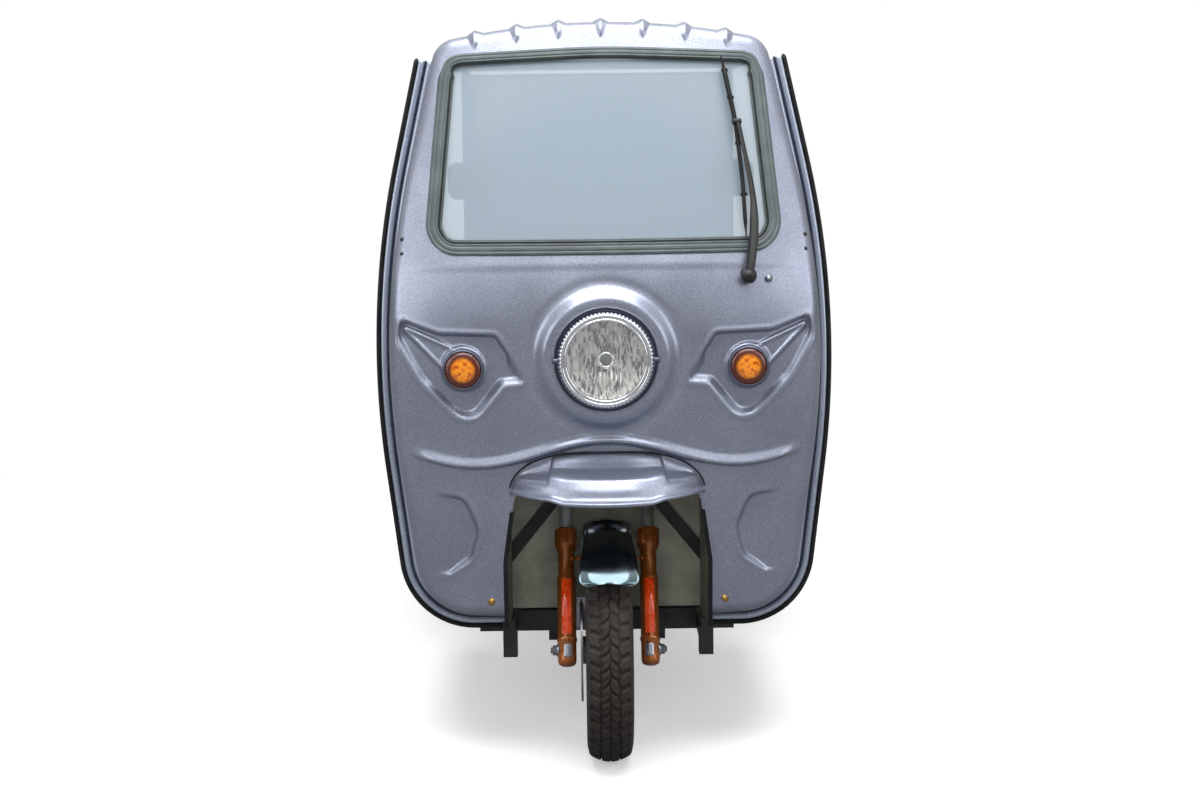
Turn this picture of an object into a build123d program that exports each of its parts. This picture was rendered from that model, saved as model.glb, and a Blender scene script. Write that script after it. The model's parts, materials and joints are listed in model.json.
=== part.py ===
from build123d import *
import math
import os

# Electric cargo tricycle: a cab with an open doorway on each side, one steered front wheel
# in an arch under the nose, and a load bed with drop sides over a driven rear axle.
# Millimetres. +X is to the right seen from the front, the front faces -Y, +Z is up.
# Lengths along the vehicle are stations, measured rearwards from the front axle.

# Wheels: 3.75-12 tyres on pressed steel rims
TYRE_RADIUS = 255
TYRE_WIDTH = 102
BEAD_RADIUS = 152.4
RIM_WIDTH = 76
RIM_WALL = 4
WHEELBASE = 1950
REAR_TRACK = 860
HUB_RADIUS = 40
REAR_HUB_LENGTH = 70
FRONT_HUB_LENGTH = 96
SPINDLE_RADIUS = 10
DRUM_RADIUS = 92
VENT_COUNT = 8

# Load bed
BED_FRONT = 1110
BED_LENGTH = 1500
BED_HALF = 510
BED_FLOOR_Z = 590
BED_SKIN = 3
BED_EDGE = 50
BOARD_HEIGHT = 300
BOARD_THICK = 24
BOARD_GAP = 5
BOARD_PANEL = 6
BOARD_RIBS = 5
POST_SIDE = 46
HINGE_COUNT = 4
HINGE_WIDTH = 36
HINGE_RADIUS = 9
PIN_RADIUS = 5
HEADBOARD_RISE = 120
CROSS_PITCH = 300
CROSS_DEPTH = 40

# Cab front: side profile as two straight lines through a rounded nose, swept round in plan
SKIN = 4
PLAN_RADIUS = 1400
PLAN_ARC = 80
NOSE_RADIUS = 550
NOSE_STATION = -161
NOSE_Z = 1018
UNDER_STATION = -12
UNDER_Z = 170
BROW_STATION = 126
BROW_Z = 1800
EDGE_RADIUS = 38

# Cab front outline, seen from the front: half widths and heights of its corners
CROWN_Z = 1715
CROWN_RADIUS = 1783
EAVE = (378, 1649)
EAVE_RADIUS = 60
WAIST = (515, 1020)
WAIST_RADIUS = 2025
SILL = (424, 335)
SILL_RADIUS = 130

# Rim of the cab front: a moulding on a plane that leans back
RIM_STATION = 108
RIM_BASE_Z = 290
RIM_LEAN = 124 / 1400
MOULDING_WIDTH = 36
MOULDING_THICK = 14
BEAD_WIDTH = 13
BEAD_RISE = 6
RUBBER_WIDTH = 10
RUBBER_DEPTH = 26
HOOP_DEPTH = 34
HOOP_IN = 14
RIM_TOP_Z = 1607

# Wheel arch in the front
ARCH_HALF = 232
ARCH_TOP_HALF = 203
ARCH_SHOULDER_Z = 470
ARCH_TOP_Z = 668
ARCH_ROUND = 70
ARCH_EDGE = 10

# Windscreen: the outer edge of its rubber seal
SCREEN_LOW = (405, 1170)
SCREEN_LOW_ROUND = 70
SCREEN_HIGH = (368, 1611)
SCREEN_HIGH_ROUND = 60
SCREEN_CROWN = 14
SEAL_WIDTH = 34
SEAL_LIP = 15
SEAL_PROUD = 7
GLASS_THICK = 5

# Panels that are pressed in or out of the cab front: half widths and heights, then radii
PRESS = 6
SWAGE = ((0, 756), (301, 696), (440, 725))
SWAGE_ROUNDS = (600, 850, 600)
SWAGE_WIDTH = 14
SWAGE_PROUD = 4
POCKET_DEPTH = 9
POCKET = ((292, 531), (373, 612), (430, 600), (430, 470), (353, 450))
POCKET_ROUNDS = (60, 40, 5, 5, 40)
FIN_DEPTH = 11
FIN = ((235, 991), (456, 1008), (450, 949), (303, 808), (218, 878), (183, 893))
FIN_ROUNDS = (12, 14, 14, 60, 20, 8)
FIN_TAIL = (436, 990)
FIN_RIB_SPREAD = 30
FIN_RIB_WIDTH = 7
FIN_RIB_PROUD = 5

# Headlamp and indicators
LAMP_Z = 941
LAMP_STATION = -176
LAMP_RADIUS = 112
LENS_RADIUS = 88
SURROUND_RADIUS = 148
FLARE_FRONT = -161
FLARE_ROUND = 12
LAMP_GAP = 1
BULB_RADIUS = 18
INDICATOR_X = 317
INDICATOR_Z = 914
INDICATOR = (INDICATOR_X, INDICATOR_Z)
INDICATOR_RADIUS = 40
INDICATOR_RIM = 6
INDICATOR_STATION = -92
COLLAR_RADIUS = 55
COLLAR_PROUD = 7

# Visor over the front wheel: radius about its turning axis and height along its crown
VISOR_STATION = -232
VISOR = ((95, 738), (195, 698), (243, 636))
VISOR_WALL = 4

# Wiper: half widths and heights
WIPER_PIVOT = (320, 1117)
WIPER_JOINT = (300, 1420)
WIPER_FOOT = (318, 1232)
WIPER_TIP = (282, 1570)

# Roof
ROOF_SPLIT_Z = 1634
RIB_COUNT = 7
RIB_PITCH = 95.5
RIB_SIDE = 27.6
RIB_SINK = 8
RIB_FRONT = 70
ROOF_REAR = 1085

# Cab
ROOF_SIDE = 381.6
FLOOR_Z = 335
FLOOR_THICK = 3
FLOOR_HALF = 470
FLOOR_NOSE_HALF = 396
FLOOR_FRONT = 160
FLOOR_FULL = 370
FLOOR_REAR = 1068
FLOOR_EDGE = 20
WALL_STATION = 1060
WALL_HALF = 366
WALL_TOP_Z = 1600
POST = 25
HOUSE_STATION = 326
HOUSE_HALF = 229
HOUSE_FOOT_Z = 286
HOUSE_TOP_Z = 705
SHEET = 3
STEM_HOLE = 150
DASH_HALF = 440
DASH = ((-60, 1125), (150, 1100), (215, 1030), (222, 940))
SEAT_FRONT = 640
SEAT_HALF = 320
SEAT_BASE_Z = 600
SEAT_DEPTH = 395
CUSHION = 90
BACKREST_Z = (760, 1120)
BATTERY_X = (-250, 250)
BATTERY_STATION = (690, 990)
BATTERY_HEIGHT = 220
PEDAL_X = 130
PEDAL_STATION = 420
PEDAL_Z = 415
POD_HALF = 85

# Frame
SPRING_INSET = 145
RAIL_X = REAR_TRACK / 2 - SPRING_INSET
RAIL_Z = 257
RAIL_SIDE = 50
RAIL_WALL = 3
BEAM_STATION = 332
BEAM_DEPTH = 40
REAR_RAIL_Z = 460
CROSS_STATIONS = (760, 1045, 1290, 1640, 2250, 2535)
OUTRIGGER_X = (217, 245)
OUTRIGGER_FRONT = 66
BRACKET = (217, 245)
BRACKET_Z = (226, 312)
DOWN_TUBE_STATION = 370
DOWN_TUBE_TOP = 745
TUBE = 30
KICK_STATION = 1085
KICK_RUN = 130
RAIL_REAR = 2560
SPRING_LENGTH = 760
SPRING_SAG = 75
LEAF_THICK = 7
LEAF_WIDTH = RAIL_SIDE - 8 - 0.6
CLAMP_HALF = 48
CLAMP_BOLT = 5
TAB_X = 124
TAB_HALF = 18
TAB_DROP = 24
STRUT_STATION = 303
STRUT_WIDTH = 30
STRUT_THICK = 6
STRUT_FOOT_Z = 427
STRUT_HEAD = (30, 674)
LEAF_COUNT = 4
LEAF_STEP = 75
AXLE_TUBE = 30
MOTOR_RADIUS = 78
GUARD_FOOT = 110
MOTOR_LENGTH = RAIL_X - 95

# Steering and fork
RAKE = 24
YOKE_OFFSET = 45
LEG_X = 96
LEG_RADIUS = 21.5
STANCHION_RADIUS = 16
STANCHION_FOOT = 60
LOWER_FOOT = -36
LOWER_TOP = 286
LOWER_YOKE = 430
UPPER_YOKE = 640
YOKE_THICK = 22
STEM_RADIUS = 14
STEM_TOP = 905
HEAD_RADIUS = 27
GRIP_X = 350
GRIP_LENGTH = 125
BAR_RADIUS = 11
LEVER_X = 211
LEVER_AHEAD = 45
MIRROR_X = 314
MIRROR_Z = 1326
MIRROR_SIZE = (115, 90)
MIRROR_DEPTH = 16
AXLE_RADIUS = 8
FENDER_RADIUS = 303
FENDER_HALF = 68
FENDER_THICK = 3
FENDER_FRONT = 38
FENDER_REAR = 146
DISC_RADIUS = 117
DISC_X = 62
STEER_LIMIT = 35

CLEAR = 0.3

# The origin is at the centre of the footprint, on the ground
TAIL_STATION = BED_FRONT + BED_LENGTH + BOARD_GAP + BOARD_THICK
AXLE_Y = TYRE_RADIUS - (TYRE_RADIUS + TAIL_STATION) / 2
BED_REAR = BED_FRONT + BED_LENGTH
HINGE_Z = BED_FLOOR_Z - 18
AXLE_HEIGHT = TYRE_RADIUS
SIGNED = (-1, 1)
BOARD_TOP_Z = BED_FLOOR_Z + BOARD_HEIGHT

# Fork lower legs, from the foot up: start and end along the steering axis, and radius
LEG_STEPS = (
    (LOWER_FOOT, LOWER_FOOT + 6, LEG_RADIUS - 3),
    (LOWER_FOOT + 6, 20, LEG_RADIUS),
    (20, 28, LEG_RADIUS + 2),
    (28, 172, LEG_RADIUS),
    (172, 250, LEG_RADIUS - 3),
    (250, LOWER_TOP, LEG_RADIUS + 4),
)


def at(station):
    """The Y of a station."""
    return AXLE_Y + station


def facing(station):
    """Plane of X and Z at a station, with its normal to the front."""
    return Plane.XZ.offset(-at(station))


def block(x, station, z, mode=Mode.ADD):
    """A box between pairs of x, station and z."""
    centre = ((x[0] + x[1]) / 2, at((station[0] + station[1]) / 2), (z[0] + z[1]) / 2)
    with Locations(centre):
        Box(x[1] - x[0], station[1] - station[0], z[1] - z[0], mode=mode)


def bar(start, end, radius, mode=Mode.ADD):
    """A round bar between two points, each an x, station and z."""
    a = Vector(start[0], at(start[1]), start[2])
    b = Vector(end[0], at(end[1]), end[2])
    with Locations(Plane(origin=a, z_dir=b - a).location):
        Cylinder(radius, (b - a).length, align=(Align.CENTER, Align.CENTER, Align.MIN), mode=mode)


def loop(points, radii, grow=0):
    """A closed face through points, with rounded corners, grown by an amount."""
    with BuildSketch() as face:
        with BuildLine():
            FilletPolyline(*points, radius=radii, close=True)
        make_face()
        if grow:
            offset(amount=grow, mode=Mode.REPLACE)
    return face.sketch


def mirrored(points, radii):
    """A half outline, from the middle or a side, with its mirror image."""
    paired = [(point, radius) for point, radius in zip(points, radii) if point[0] > 0]
    points = points + tuple((-p[0], p[1]) for p, _ in reversed(paired))
    return points, tuple(radii) + tuple(radius for _, radius in reversed(paired))


def slab(face, front, rear):
    """A face of X and Z run from one station to another."""
    with BuildPart() as body:
        with BuildSketch(facing(front)):
            add(face)
        extrude(amount=front - rear)
    return body.part


def strip(points, width):
    """Outline of a bent strip of one width about a line of points, with mitred bends."""
    vectors = [Vector(*p) for p in points]
    left, right = [], []
    for i, point in enumerate(vectors):
        before = (point - vectors[i - 1]).normalized() if i else None
        after = (vectors[i + 1] - point).normalized() if i < len(points) - 1 else None
        along = ((before or after) + (after or before)).normalized()
        reach = width / 2 / (along.dot(after or before))
        left.append((point.X - along.Y * reach, point.Y + along.X * reach))
        right.append((point.X + along.Y * reach, point.Y - along.X * reach))
    return left + right[::-1]


def side_strip(points, width, x):
    """A bent strip of stations and heights, run across between two x."""
    path = [(at(s), z) for s, z in points]
    with BuildPart() as body:
        with BuildSketch(Plane.YZ.offset(x[0])):
            with BuildLine():
                Polyline(*strip(path, width), close=True)
            make_face()
        extrude(amount=x[1] - x[0])
    return body.part


def save(piece, name):
    """Labels a finished piece and writes it."""
    piece.part.label = name
    export_step(piece.part, f"parts/{name}.step")


def rim_station(z):
    """Station of the rim plane at a height."""
    return RIM_STATION + (z - RIM_BASE_Z) * RIM_LEAN


def rim_plane(behind=0):
    """The rim plane, moved rearwards, with its normal to the front."""
    origin = (0, at(RIM_STATION + behind), RIM_BASE_Z)
    return Plane(origin=origin, x_dir=(1, 0, 0), z_dir=(0, -1, RIM_LEAN))


def on_rim(x, z):
    """A point of X and Z, in the rim plane's own coordinates."""
    return (x, (z - RIM_BASE_Z) * math.hypot(1, RIM_LEAN))


def nose_points(inset):
    """The side profile's three points as Y and Z, moved inwards by an inset."""
    under = Vector(UNDER_STATION, UNDER_Z)
    nose = Vector(NOSE_STATION, NOSE_Z)
    brow = Vector(BROW_STATION, BROW_Z)
    low = (nose - under).normalized()
    high = (brow - nose).normalized()
    low_in = Vector(low.Y, -low.X)
    high_in = Vector(high.Y, -high.X)
    middle = (low_in + high_in).normalized()
    moved = (
        under + low_in * inset,
        nose + middle * (inset / middle.dot(low_in)),
        brow + high_in * inset,
    )
    return [(at(p.X), p.Y) for p in moved]


def front_body(inset=0.0, rear_station=450):
    """Everything behind the cab front's surface, moved inwards by an inset."""
    pivot = Axis((0, at(NOSE_STATION) + PLAN_RADIUS, 0), (0, 0, 1))
    rear = at(rear_station)
    with BuildPart() as body:
        with BuildSketch(Plane.YZ):
            with BuildLine():
                nose = FilletPolyline(*nose_points(inset), radius=NOSE_RADIUS - inset)
                Polyline(nose @ 1, (rear, BROW_Z), (rear, UNDER_Z), nose @ 0)
            make_face()
        revolve(axis=pivot, revolution_arc=PLAN_ARC)
    return body.part.rotate(pivot, -PLAN_ARC / 2)


def outline(grow=0.0):
    """Face of the cab front's outline seen from the front, grown by an amount."""
    points = ((0, CROWN_Z), EAVE, WAIST, SILL)
    radii = (CROWN_RADIUS, EAVE_RADIUS, WAIST_RADIUS, SILL_RADIUS)
    return loop(*mirrored(points, radii), grow)


def cab_solid(inset=0.0):
    """The cab front as a solid, to behind its rim, with its front edge rounded."""
    front = front_body(inset) & slab(outline(-inset), -400, 400)
    swept = front.faces().filter_by(lambda f: f.geom_type in (GeomType.CONE, GeomType.TORUS))
    kept = [f for f in swept if f.center().Y < at(60)]
    rounded = [
        e for e in front.edges()
        if sum(1 for f in kept if any(e.is_same(other) for other in f.edges())) == 1
    ]
    return front.fillet(EDGE_RADIUS - inset, rounded)


def pressed(face, outward, inward):
    """What lies within a face of X and Z, between two insets of the cab front."""
    return (slab(face, -400, 300) & front_body(-outward)) - front_body(inward)


def screen(grow=0.0):
    """The windscreen seal's outline, grown by an amount."""
    points = ((0, SCREEN_HIGH[1] + SCREEN_CROWN), SCREEN_HIGH, SCREEN_LOW)
    radii = (2000, SCREEN_HIGH_ROUND, SCREEN_LOW_ROUND)
    return loop(*mirrored(points, radii), grow)


def arch(grow=0.0):
    """The wheel arch's outline, open at the bottom, grown by an amount."""
    points = ((ARCH_TOP_HALF, ARCH_TOP_Z), (ARCH_HALF, ARCH_SHOULDER_Z), (ARCH_HALF, 60))
    return loop(*mirrored(points, (ARCH_ROUND, 200, 5)), grow)


def disc(radius, x, z):
    """A round face at x and z."""
    with BuildSketch() as face:
        with Locations((x, z)):
            Circle(radius)
    return face.sketch


def grown(face, amount):
    """A face grown by an amount."""
    with BuildSketch() as bigger:
        add(face)
        offset(amount=amount, mode=Mode.REPLACE)
    return bigger.sketch


def mirror_face(face):
    """A face with its mirror image across the middle."""
    with BuildSketch() as pair:
        add(face)
        mirror(about=Plane.YZ)
    return pair.sketch


def turned(points, x, z):
    """A solid turned about the fore-and-aft axis at x and z, from radii and stations."""
    with BuildPart() as body:
        with BuildSketch(Plane.XY.offset(z)):
            with BuildLine():
                Polyline(*[(x + r, at(s)) for r, s in points], close=True)
            make_face()
        revolve(axis=Axis((x, 0, z), (0, 1, 0)))
    return body.part


def swage_face():
    """The ridge that runs across the panel over the visor, as a line of one width."""
    half = [Vector(x, z) for x, z in SWAGE]
    points = [Vector(-p.X, p.Y) for p in reversed(half[1:])] + half
    with BuildSketch() as face:
        with BuildLine():
            FilletPolyline(*points, radius=SWAGE_ROUNDS)
        trace(line_width=SWAGE_WIDTH)
    return face.sketch


def fin_ribs():
    """Two ribs that run from either side of an indicator to its fin's outer corner."""
    run = (Vector(*FIN_TAIL) - Vector(*INDICATOR)).normalized()
    with BuildSketch() as face:
        for side in SIGNED:
            start = Vector(*INDICATOR) + Vector(-run.Y, run.X) * side * FIN_RIB_SPREAD
            with BuildLine():
                Line(start, FIN_TAIL)
            trace(line_width=FIN_RIB_WIDTH)
    return face.sketch


os.makedirs("parts", exist_ok=True)

# Frame: two box rails that rise behind the cab, with hangers for the springs
rail_path = (
    (BEAM_STATION + BEAM_DEPTH / 2, RAIL_Z),
    (KICK_STATION, RAIL_Z),
    (KICK_STATION + KICK_RUN, REAR_RAIL_Z),
    (RAIL_REAR, REAR_RAIL_Z),
)
rail_low = RAIL_Z - RAIL_SIDE / 2
rail_top = REAR_RAIL_Z + RAIL_SIDE / 2
rail_bottom = REAR_RAIL_Z - RAIL_SIDE / 2
rail_in = RAIL_X - RAIL_SIDE / 2
rail_out = RAIL_X + RAIL_SIDE / 2
eye_z = AXLE_HEIGHT + AXLE_TUBE + (LEAF_COUNT - 0.5) * LEAF_THICK + SPRING_SAG
with BuildPart() as chassis_rails:
    add(side_strip(rail_path, RAIL_SIDE, (rail_in, rail_out)))
    inner = (rail_in + RAIL_WALL, rail_out - RAIL_WALL)
    add(side_strip(rail_path, RAIL_SIDE - 2 * RAIL_WALL, inner), mode=Mode.SUBTRACT)
    for station in (WHEELBASE - SPRING_LENGTH / 2, WHEELBASE + SPRING_LENGTH / 2):
        for x in ((rail_in, rail_in + 4), (rail_out - 4, rail_out)):
            block(x, (station - 24, station + 24), (eye_z - 16, rail_bottom))
    mirror(about=Plane.YZ)
save(chassis_rails, "chassis_rails")

with BuildPart() as chassis_crossmembers:
    beam = (BEAM_STATION - BEAM_DEPTH / 2, BEAM_STATION + BEAM_DEPTH / 2)
    block((-rail_out, rail_out), beam, (rail_low, rail_low + RAIL_SIDE))
    for station in CROSS_STATIONS:
        low = rail_low if station < KICK_STATION else rail_bottom
        across = (station - 20, station + 20)
        block((-rail_in, rail_in), across, (low + 5, low + RAIL_SIDE - 5))
        hollow = (station - 17, station + 17)
        block((-rail_in, rail_in), hollow, (low + 8, low + RAIL_SIDE - 8), mode=Mode.SUBTRACT)
    for side in SIGNED:
        x = sorted((side * OUTRIGGER_X[0], side * OUTRIGGER_X[1]))
        block(x, (OUTRIGGER_FRONT, beam[0]), (HOUSE_FOOT_Z - 45, HOUSE_FOOT_Z))
        x = (side * TAB_X - TAB_HALF, side * TAB_X + TAB_HALF)
        block(x, (beam[0], beam[0] + 5), (rail_low - TAB_DROP, rail_low))
save(chassis_crossmembers, "chassis_crossmembers")

# Black brackets at the foot of the arch
with BuildPart() as arch_brackets:
    for side in SIGNED:
        x = sorted((side * BRACKET[0], side * BRACKET[1]))
        block(x, (OUTRIGGER_FRONT - 5, OUTRIGGER_FRONT), BRACKET_Z)
        x = sorted((side * (BRACKET[0] - 5), side * BRACKET[0]))
        block(x, (OUTRIGGER_FRONT - 5, OUTRIGGER_FRONT + 34), (BRACKET_Z[0], BRACKET_Z[1] - 20))
save(arch_brackets, "arch_brackets")

# Steering head: a tube on the raked axis, held back to two down tubes
axis_unit = Vector(0, math.sin(math.radians(RAKE)), math.cos(math.radians(RAKE)))
across_unit = Vector(0, axis_unit.Z, -axis_unit.Y)
axle_point = Vector(0, at(0), AXLE_HEIGHT)
axis_foot = axle_point + across_unit * YOKE_OFFSET


def along(distance, x=0.0, ahead=0.0):
    """A point beside the steering axis, at a distance along it from the axle's level."""
    return axis_foot + axis_unit * distance - across_unit * ahead + Vector(x, 0, 0)


def steer_plane(distance, x=0.0, ahead=0.0):
    """Plane square to the steering axis, its local y to the rear."""
    return Plane(origin=along(distance, x, ahead), x_dir=(1, 0, 0), z_dir=axis_unit)


def upright(radius, start, end, x=0.0, ahead=0.0, mode=Mode.ADD):
    """A round along the steering axis or beside it."""
    base = (Align.CENTER, Align.CENTER, Align.MIN)
    with Locations(steer_plane(start, x, ahead).location):
        Cylinder(radius, end - start, align=base, mode=mode)


head_start = LOWER_YOKE + YOKE_THICK / 2 + 14
head_end = UPPER_YOKE - YOKE_THICK / 2 - 14
down_tube = (DOWN_TUBE_STATION - TUBE / 2, DOWN_TUBE_STATION + TUBE / 2)
with BuildPart() as steering_head:
    low = along(head_start + 12)
    high = along(head_end - 60)
    with BuildSketch(Plane.YZ.offset(-35)):
        with BuildLine():
            Polyline(
                (low.Y, low.Z), (at(down_tube[0]), low.Z), (at(down_tube[0]), DOWN_TUBE_TOP),
                (high.Y, DOWN_TUBE_TOP), close=True,
            )
        make_face()
    extrude(amount=70)
    upright(HEAD_RADIUS, head_start, head_end)
    upright(STEM_RADIUS + CLEAR, head_start - 1, head_end + 1, mode=Mode.SUBTRACT)
    for side in SIGNED:
        x = (side * 45 - TUBE / 2, side * 45 + TUBE / 2)
        block(x, down_tube, (RAIL_Z - RAIL_SIDE / 2, DOWN_TUBE_TOP))
    block((-60, 60), (beam[1], down_tube[1]), (RAIL_Z - 20, RAIL_Z + 20))
    block((-30, 30), down_tube, (DOWN_TUBE_TOP - TUBE, DOWN_TUBE_TOP))
    for side in SIGNED:
        points = ((side * STRUT_HEAD[0], STRUT_HEAD[1]), (side * (HOUSE_HALF + 30), STRUT_FOOT_Z - 37))
        with BuildSketch(facing(STRUT_STATION)):
            with BuildLine():
                Polyline(*strip(points, STRUT_WIDTH), close=True)
            make_face()
        extrude(amount=-STRUT_THICK)
    for side in SIGNED:
        x = sorted((side * HOUSE_HALF, side * (HOUSE_HALF + 60)))
        block(x, (STRUT_STATION - 5, STRUT_STATION + 15), (300, 560), mode=Mode.SUBTRACT)
save(steering_head, "steering_head")

# Cab front: one pressed panel with the screen, arch and lamp openings
cab_outer = cab_solid()
cab_inner = cab_solid(SKIN)
with BuildPart() as front_panel:
    add(cab_outer)
    add(cab_inner, mode=Mode.SUBTRACT)
    fins = mirror_face(loop(FIN, FIN_ROUNDS))
    pockets = mirror_face(loop(POCKET, POCKET_ROUNDS))
    surround = disc(SURROUND_RADIUS, 0, LAMP_Z)
    for face, depth in ((pockets, POCKET_DEPTH), (fins, FIN_DEPTH), (surround, PRESS)):
        add(pressed(grown(face, SKIN), -1, depth + SKIN) & cab_outer)
        add(pressed(face, 60, depth), mode=Mode.SUBTRACT)
    add(pressed(swage_face(), SWAGE_PROUD, 1))
    add(pressed(mirror_face(fin_ribs()), FIN_RIB_PROUD - FIN_DEPTH, FIN_DEPTH + 1))
    add(pressed(mirror_face(disc(COLLAR_RADIUS, *INDICATOR)), COLLAR_PROUD - FIN_DEPTH, FIN_DEPTH + 1))
    add(turned((
        (LAMP_RADIUS + LAMP_GAP, 0), (LAMP_RADIUS + LAMP_GAP, FLARE_FRONT + 3),
        (LAMP_RADIUS + LAMP_GAP + 3, FLARE_FRONT), (SURROUND_RADIUS - FLARE_ROUND, FLARE_FRONT),
        (SURROUND_RADIUS - 3, FLARE_FRONT + 4), (SURROUND_RADIUS, FLARE_FRONT + FLARE_ROUND),
        (SURROUND_RADIUS, 0),
    ), 0, LAMP_Z) - front_body(PRESS + SKIN))
    split(bisect_by=Plane(origin=(0, 0, ROOF_SPLIT_Z), z_dir=(0, 0, -1)))
    split(bisect_by=rim_plane())
    for face in (arch(), screen(-SEAL_LIP), disc(LENS_RADIUS + 9, 0, LAMP_Z)):
        add(slab(face, -400, 400), mode=Mode.SUBTRACT)
save(front_panel, "front_panel")

# Roof: the brow of the cab front carried back as one panel, with seven ribs
crown_centre = CROWN_Z - CROWN_RADIUS / math.cos(math.atan2(CROWN_Z - EAVE[1], EAVE[0]))
roof_floor = Plane(origin=(0, 0, ROOF_SPLIT_Z), z_dir=(0, 0, 1))
with BuildPart() as ribs:
    for i in range(RIB_COUNT):
        x = (i - (RIB_COUNT - 1) / 2) * RIB_PITCH
        z = crown_centre + math.sqrt(CROWN_RADIUS ** 2 - x ** 2) - RIB_SINK
        with Locations(Location((x, at((RIB_FRONT + ROOF_REAR) / 2), z), (0, 45, 0))):
            Box(RIB_SIDE, ROOF_REAR - RIB_FRONT, RIB_SIDE)
        crest = z + RIB_SIDE / math.sqrt(2)
        slope = Plane(origin=(x, at(RIB_FRONT + RIB_SIDE), crest), z_dir=(0, -1, 0.9))
        with Locations(slope.location):
            Box(3 * RIB_SIDE, 6 * RIB_SIDE, 3 * RIB_SIDE, mode=Mode.SUBTRACT,
                align=(Align.CENTER, Align.CENTER, Align.MIN))
with BuildPart() as roof:
    add(cab_outer)
    add(slab(outline(), 399, ROOF_REAR))
    add(ribs.part)
    add(cab_inner, mode=Mode.SUBTRACT)
    add(slab(outline(-SKIN), 398, ROOF_REAR + 5), mode=Mode.SUBTRACT)
    split(bisect_by=roof_floor)
save(roof, "roof")

# Windscreen, and the rubber seal that grips its edge and the panel's
with BuildPart() as windscreen:
    add(pressed(screen(-SEAL_WIDTH), 0, GLASS_THICK))
save(windscreen, "windscreen")

with BuildPart() as windscreen_seal:
    add(pressed(screen(), SEAL_PROUD, 0))
    add(pressed(screen(-SEAL_LIP), 1, GLASS_THICK + SKIN))
    add(slab(screen(-SEAL_WIDTH), -400, 400), mode=Mode.SUBTRACT)
save(windscreen_seal, "windscreen_seal")


def rim_ring(inner, outer, ahead, behind, start=ARCH_HALF):
    """Left and right stretches of a frame about the cab front, between two rim planes."""
    with BuildPart() as ring:
        add(slab(outline(outer), -100, 400))
        add(slab(outline(inner), -100, 400), mode=Mode.SUBTRACT)
        split(bisect_by=rim_plane(behind))
        split(bisect_by=rim_plane(-ahead), keep=Keep.BOTTOM)
        block((-start, start), (-100, 400), (100, 600), mode=Mode.SUBTRACT)
        block((-600, 600), (-100, 400), (RIM_TOP_Z, 1900), mode=Mode.SUBTRACT)
    return ring.part


# Pillars behind the rim, and the bright moulding and black rubber round the cab front
with BuildPart() as front_pillars:
    add(rim_ring(-HOOP_IN, MOULDING_WIDTH, 0, HOOP_DEPTH, HOUSE_HALF + SHEET))
save(front_pillars, "front_pillars")

with BuildPart() as front_moulding:
    add(rim_ring(0, MOULDING_WIDTH, MOULDING_THICK - BEAD_RISE, 0))
    for start in (0, MOULDING_WIDTH - BEAD_WIDTH):
        add(rim_ring(start, start + BEAD_WIDTH, MOULDING_THICK, 0))
save(front_moulding, "front_moulding")

with BuildPart() as rubber_edge:
    outer = MOULDING_WIDTH + RUBBER_WIDTH
    add(rim_ring(MOULDING_WIDTH, outer, RUBBER_DEPTH / 2, RUBBER_DEPTH / 2))
save(rubber_edge, "rubber_edge")

# Black trim on both sides of the wheel arch
with BuildPart() as arch_trim:
    add(pressed(arch(ARCH_EDGE - 4), 5, 0))
    add(pressed(arch(), 1, SKIN + 4))
    add(slab(arch(-4), -400, 400), mode=Mode.SUBTRACT)
    block((-300, 300), (-400, 400), (590, 900), mode=Mode.SUBTRACT)
    block((-300, 300), (-400, 400), (0, BRACKET_Z[1]), mode=Mode.SUBTRACT)
save(arch_trim, "arch_trim")

# Visor: a turned hood over the wheel, cut to the cab front
visor_centre = at(VISOR_STATION + VISOR[-1][0])
with BuildPart() as visor:
    with BuildSketch(Plane.YZ):
        with BuildLine():
            outer_line = [(visor_centre - r, z) for r, z in VISOR]
            inner_line = [(visor_centre - r + VISOR_WALL, z - VISOR_WALL / 2) for r, z in VISOR]
            ThreePointArc(*outer_line)
            ThreePointArc(*inner_line)
            Line(outer_line[0], inner_line[0])
            Line(outer_line[-1], inner_line[-1])
        make_face()
        with Locations((outer_line[-1][0] + 2, outer_line[-1][1])):
            Circle(VISOR_WALL + 1)
    revolve(axis=Axis((0, visor_centre, 0), (0, 0, 1)), revolution_arc=360)
    add(front_body(), mode=Mode.SUBTRACT)
    add(front_panel.part, mode=Mode.SUBTRACT)
    split(bisect_by=Plane(origin=(0, visor_centre - 20, 0), z_dir=(0, -1, 0)))
save(visor, "visor")


# Headlamp: chrome bezel on the pressed seat, reflector bowl and domed lens
lamp_rear = LAMP_STATION + 10
with BuildPart() as headlamp_bezel:
    add(turned((
        (LENS_RADIUS, lamp_rear), (LENS_RADIUS, LAMP_STATION + 3), (LENS_RADIUS + 5, LAMP_STATION),
        (LENS_RADIUS + 12, LAMP_STATION), (LAMP_RADIUS, LAMP_STATION + 16), (LAMP_RADIUS, -80),
        (LENS_RADIUS + 9, -80), (LENS_RADIUS + 9, lamp_rear),
    ), 0, LAMP_Z))
    add(front_body(PRESS), mode=Mode.SUBTRACT)
save(headlamp_bezel, "headlamp_bezel")

with BuildPart() as headlamp_lens:
    add(turned((
        (0, lamp_rear - 13), (40, lamp_rear - 11), (70, lamp_rear - 6), (LENS_RADIUS, lamp_rear),
        (LENS_RADIUS + 8, lamp_rear), (LENS_RADIUS + 8, lamp_rear + 4), (0, lamp_rear + 4),
    ), 0, LAMP_Z))
save(headlamp_lens, "headlamp_lens")

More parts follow.
